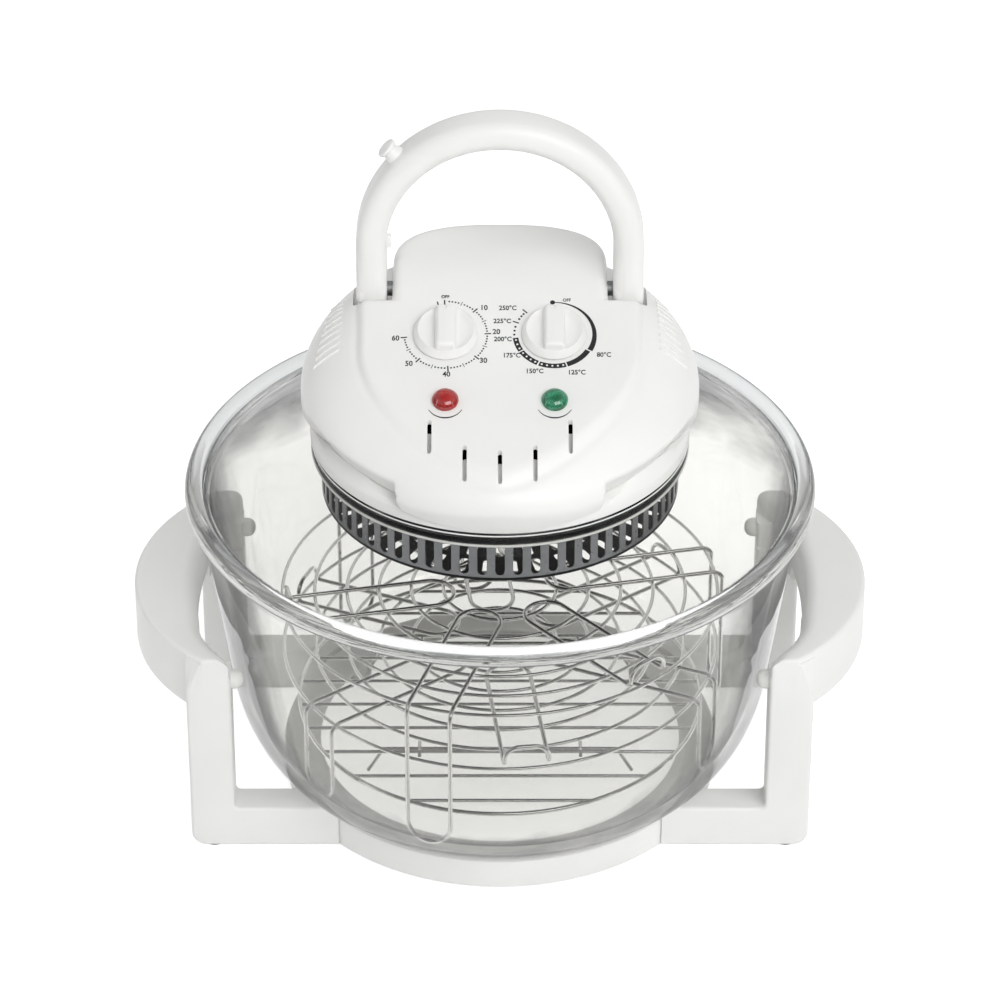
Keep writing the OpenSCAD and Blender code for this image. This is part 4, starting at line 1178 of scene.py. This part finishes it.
def add_dot(bm, x, y, radius, steps=12):
    bmesh.ops.create_circle(bm, cap_ends=True, segments=steps, radius=radius, matrix=at(x, y))


def add_tick(bm, angle, r0, r1, width):
    grid = bmesh.ops.create_grid(bm, x_segments=1, y_segments=1, size=0.5)["verts"]
    bmesh.ops.scale(bm, vec=(width, r1 - r0, 1), verts=grid)
    bmesh.ops.translate(bm, vec=(0, (r0 + r1) / 2, 0), verts=grid)
    bmesh.ops.transform(bm, matrix=turned(-angle, "Z"), verts=grid)


def add_band(bm, start, end, r_mid, w0, w1, steps, cy=0.0):
    """A curved stroke whose width runs from w0 to w1: one edge, extruded step by step."""
    def pair(share):
        half = (w0 + (w1 - w0) * share) / 2
        angle = start + (end - start) * share
        return [(clock(angle, r)[0], cy + clock(angle, r)[1], 0)
                for r in (r_mid - half, r_mid + half)]
    edge = bm.edges.new([bm.verts.new(p) for p in pair(0)])
    for i in range(1, steps + 1):
        grown = bmesh.ops.extrude_edge_only(bm, edges=[edge])["geom"]
        edge = [g for g in grown if isinstance(g, bmesh.types.BMEdge)][0]
        ends = [g for g in grown if isinstance(g, bmesh.types.BMVert)]
        ends.sort(key=lambda v: math.hypot(v.co.x, v.co.y - cy))
        for v, spot in zip(ends, pair(i / steps)):
            v.co = spot


def add_text(bm, words, x, y, size):
    curve = bpy.data.curves.new("digits", "FONT")
    curve.body = words
    curve.size = size
    curve.align_x = curve.align_y = "CENTER"
    curve.resolution_u = 3
    curve.offset = 0.022 * size
    text = bpy.data.objects.new("digits", curve)
    bpy.context.scene.collection.objects.link(text)
    graph = bpy.context.evaluated_depsgraph_get()
    mesh = bpy.data.meshes.new_from_object(text.evaluated_get(graph))
    mesh.transform(at(x, y) @ Matrix.Diagonal((0.88, 1.0, 1.0, 1.0)))
    bm.from_mesh(mesh)
    bpy.data.objects.remove(text)
    bpy.data.curves.remove(curve)
    bpy.data.meshes.remove(mesh)


def lay_print(bm, name, x, v, ink=print_ink, lift=INK_LIFT):
    bmesh.ops.recalc_face_normals(bm, faces=bm.faces)
    for face in bm.faces:
        if face.normal.z < 0:
            face.normal_flip()
    bmesh.ops.solidify(bm, geom=bm.faces[:], thickness=-INK_THICK)
    # a film grown upwards comes out of the tool inside out
    bmesh.ops.reverse_faces(bm, faces=bm.faces)
    put(bm, on_panel(x, v, lift))
    bmesh.ops.scale(bm, vec=(MM, MM, MM), verts=bm.verts)
    obj = to_object(bm, name)
    obj.data.materials.append(ink)
    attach(obj, "lid")
    print(name, "faces", len(obj.data.polygons))


# %% [markdown]
# The left dial counts minutes, with a dot for each, a short stroke for every fifth and a
# long one for every tenth.
# %% Print of the timer
MINUTE = 4.42
bm = bmesh.new()
for minute in range(1, 61):
    if minute % 10 == 0:
        add_tick(bm, minute * MINUTE, 20.4, 23.8, 0.7)
    elif minute % 5 == 0:
        add_tick(bm, minute * MINUTE, 20.6, 23.2, 0.36)
    else:
        add_dot(bm, *clock(minute * MINUTE, 21.8), 0.50)
add_tick(bm, -12, 20.0, 22.2, 0.7)
add_tick(bm, -2, 19.8, 22.8, 0.7)
for words, x, y in (("10", 20.0, 17.6), ("20", 26.6, 1.8), ("30", 19.8, -16.9),
                    ("40", 0.5, -25.8), ("50", -19.2, -18.9), ("60", -26.4, -2.4)):
    add_text(bm, words, x, y, 4.6)
add_text(bm, "OFF", -0.4, 24.9, 2.8)
lay_print(bm, "timer_print", -KNOB_X, KNOB_V)

# %% [markdown]
# The right dial has a band that swells with the heat, breaks into pieces with white dots in
# them, and ends in single dots. An arc lies under each lamp.
# %% Print of the temperature dial
BANDS = ((120.5, 161, 0), (163, 203, 5), (205.5, 237.5, 4), (239.5, 264, 3))
bm = bmesh.new()
add_dot(bm, *clock(-2, 21.2), 1.35, 24)
add_band(bm, 0, 118.5, 21.2, 0.35, 2.9, 48)
for start, end, holes in BANDS:
    add_band(bm, start, end, 20.4, 2.9, 2.9, 16)
for angle in (270, 277, 284, 299, 305, 310):
    add_dot(bm, *clock(angle, 21.0), 0.62)
for angle in (292, 315):
    add_tick(bm, angle, 20.0, 23.4, 0.7)
for words, x, y in (("80°C", 26.0, -13.2), ("125°C", 11.6, -24.6), ("150°C", -10.4, -23.8),
                    ("175°C", -22.4, -13.6), ("200°C", -27.0, -3.0), ("225°C", -27.3, 8.8),
                    ("250°C", -24.4, 17.4)):
    add_text(bm, words, x, y, 4.1)
add_text(bm, "OFF", 6.8, 22.6, 2.8)
lay_print(bm, "temperature_print", KNOB_X, KNOB_V)

bm = bmesh.new()
for start, end, holes in BANDS:
    for i in range(holes):
        add_dot(bm, *clock(start + (end - start) * (i + 0.5) / holes, 20.4), 0.55)
lay_print(bm, "temperature_dots", KNOB_X, KNOB_V, white_ink, INK_LIFT + 0.08)

for name, sx in (("timer_lamp_arc", -1), ("temperature_lamp_arc", 1)):
    bm = bmesh.new()
    for start in (118, 242):
        add_band(bm, start, 180, 9.8, 0.3, 0.85, 16, cy=-1.3)
    lay_print(bm, name, sx * KNOB_X, LENS_V)

# %% [markdown]
# The carry handle is one tube with a soft rectangular section. Its section is drawn once,
# pushed up along the left leg, spun through half a turn and pushed down the right leg;
# round hubs at the pivots, the peg on its shoulder and the tab for the lid's catch are
# joined on.
# %% Carry handle
ARCH_R, ARCH_T, ARCH_D, ARCH_Y, ARCH_Z, PIVOT_Z = 68.1, 16.2, 25.0, 28.0, 317.0, 289.0
HUB_R, CORNER_R, CORNER_STEPS = 12, 7.0, 8
PEG = [(0, -2), (6.4, -2), (6.0, 0.4), (4.4, 5.4), (4.0, 6.9), (5.3, 7.1), (5.7, 7.8),
       (5.5, 8.9), (4.8, 9.4), (0, 9.8)]
bm = bmesh.new()
outline = []
for cx, cy, start in ((1, 1, 0), (-1, 1, 90), (-1, -1, 180), (1, -1, 270)):
    outline += arc(cx * (ARCH_T / 2 - CORNER_R), cy * (ARCH_D / 2 - CORNER_R), CORNER_R, start,
                   start + 90, CORNER_STEPS)
face = bm.faces.new([bm.verts.new((-ARCH_R + x, ARCH_Y + y, PIVOT_Z)) for x, y in outline])
grown = push(bm, face, (0, 0, ARCH_Z - PIVOT_Z))
end_face = [g for g in grown if isinstance(g, bmesh.types.BMFace)][0]
bmesh.ops.spin(bm, geom=[end_face], cent=(0, ARCH_Y, ARCH_Z), axis=(0, 1, 0), steps=72,
               angle=math.pi)
bmesh.ops.remove_doubles(bm, verts=bm.verts, dist=0.001)
end_face = max((f for f in bm.faces if abs(f.normal.z) > 0.9 and len(f.verts) > 20),
               key=lambda f: f.calc_center_median().x)
push(bm, end_face, (0, 0, PIVOT_Z - ARCH_Z))
inside = [f for f in bm.faces
          if len(f.verts) > 20 and abs(f.calc_center_median().z - ARCH_Z) < 1]
bmesh.ops.delete(bm, geom=inside, context="FACES_ONLY")
handle = solid(bm)
for sx in (-1, 1):
    bm = cone(HUB_R, HUB_R, ARCH_T, 96)
    rims = [e for e in bm.edges if abs(abs(e.verts[0].co.z) - ARCH_T / 2) < 0.01
            and abs(e.verts[0].co.z - e.verts[1].co.z) < 0.01]
    round_edges(bm, rims, 3.5, 5)
    put(bm, at(sx * ARCH_R, ARCH_Y, PIVOT_Z) @ turned(90, "Y"))
    low, high = (-14.1, 10) if sx > 0 else (-10, 14.1)
    pivot = rod(4.0, low, high, 48, at(sx * 60, ARCH_Y, PIVOT_Z) @ turned(90, "Y"))
    handle = cut(weld(handle, solid(bm)), pivot)
bm = lathe(PEG, 48, closed=False)
put(bm, at(0, ARCH_Y, ARCH_Z) @ turned(-46, "Y") @ at(0, 0, ARCH_R + 6))
tab_x = ARCH_T / 2 - ARCH_R
tab = box_solid((tab_x - 1, 26, 315), (tab_x + 2.7, 30, 322), round_by=0.6)
piece(to_bmesh(weld(handle, solid(bm), tab)), "carry_arch", "carry_handle", white_abs,
      "carry_handle", sharp=40)

# %% Finish
bpy.context.scene.view_settings.view_transform = "Standard"
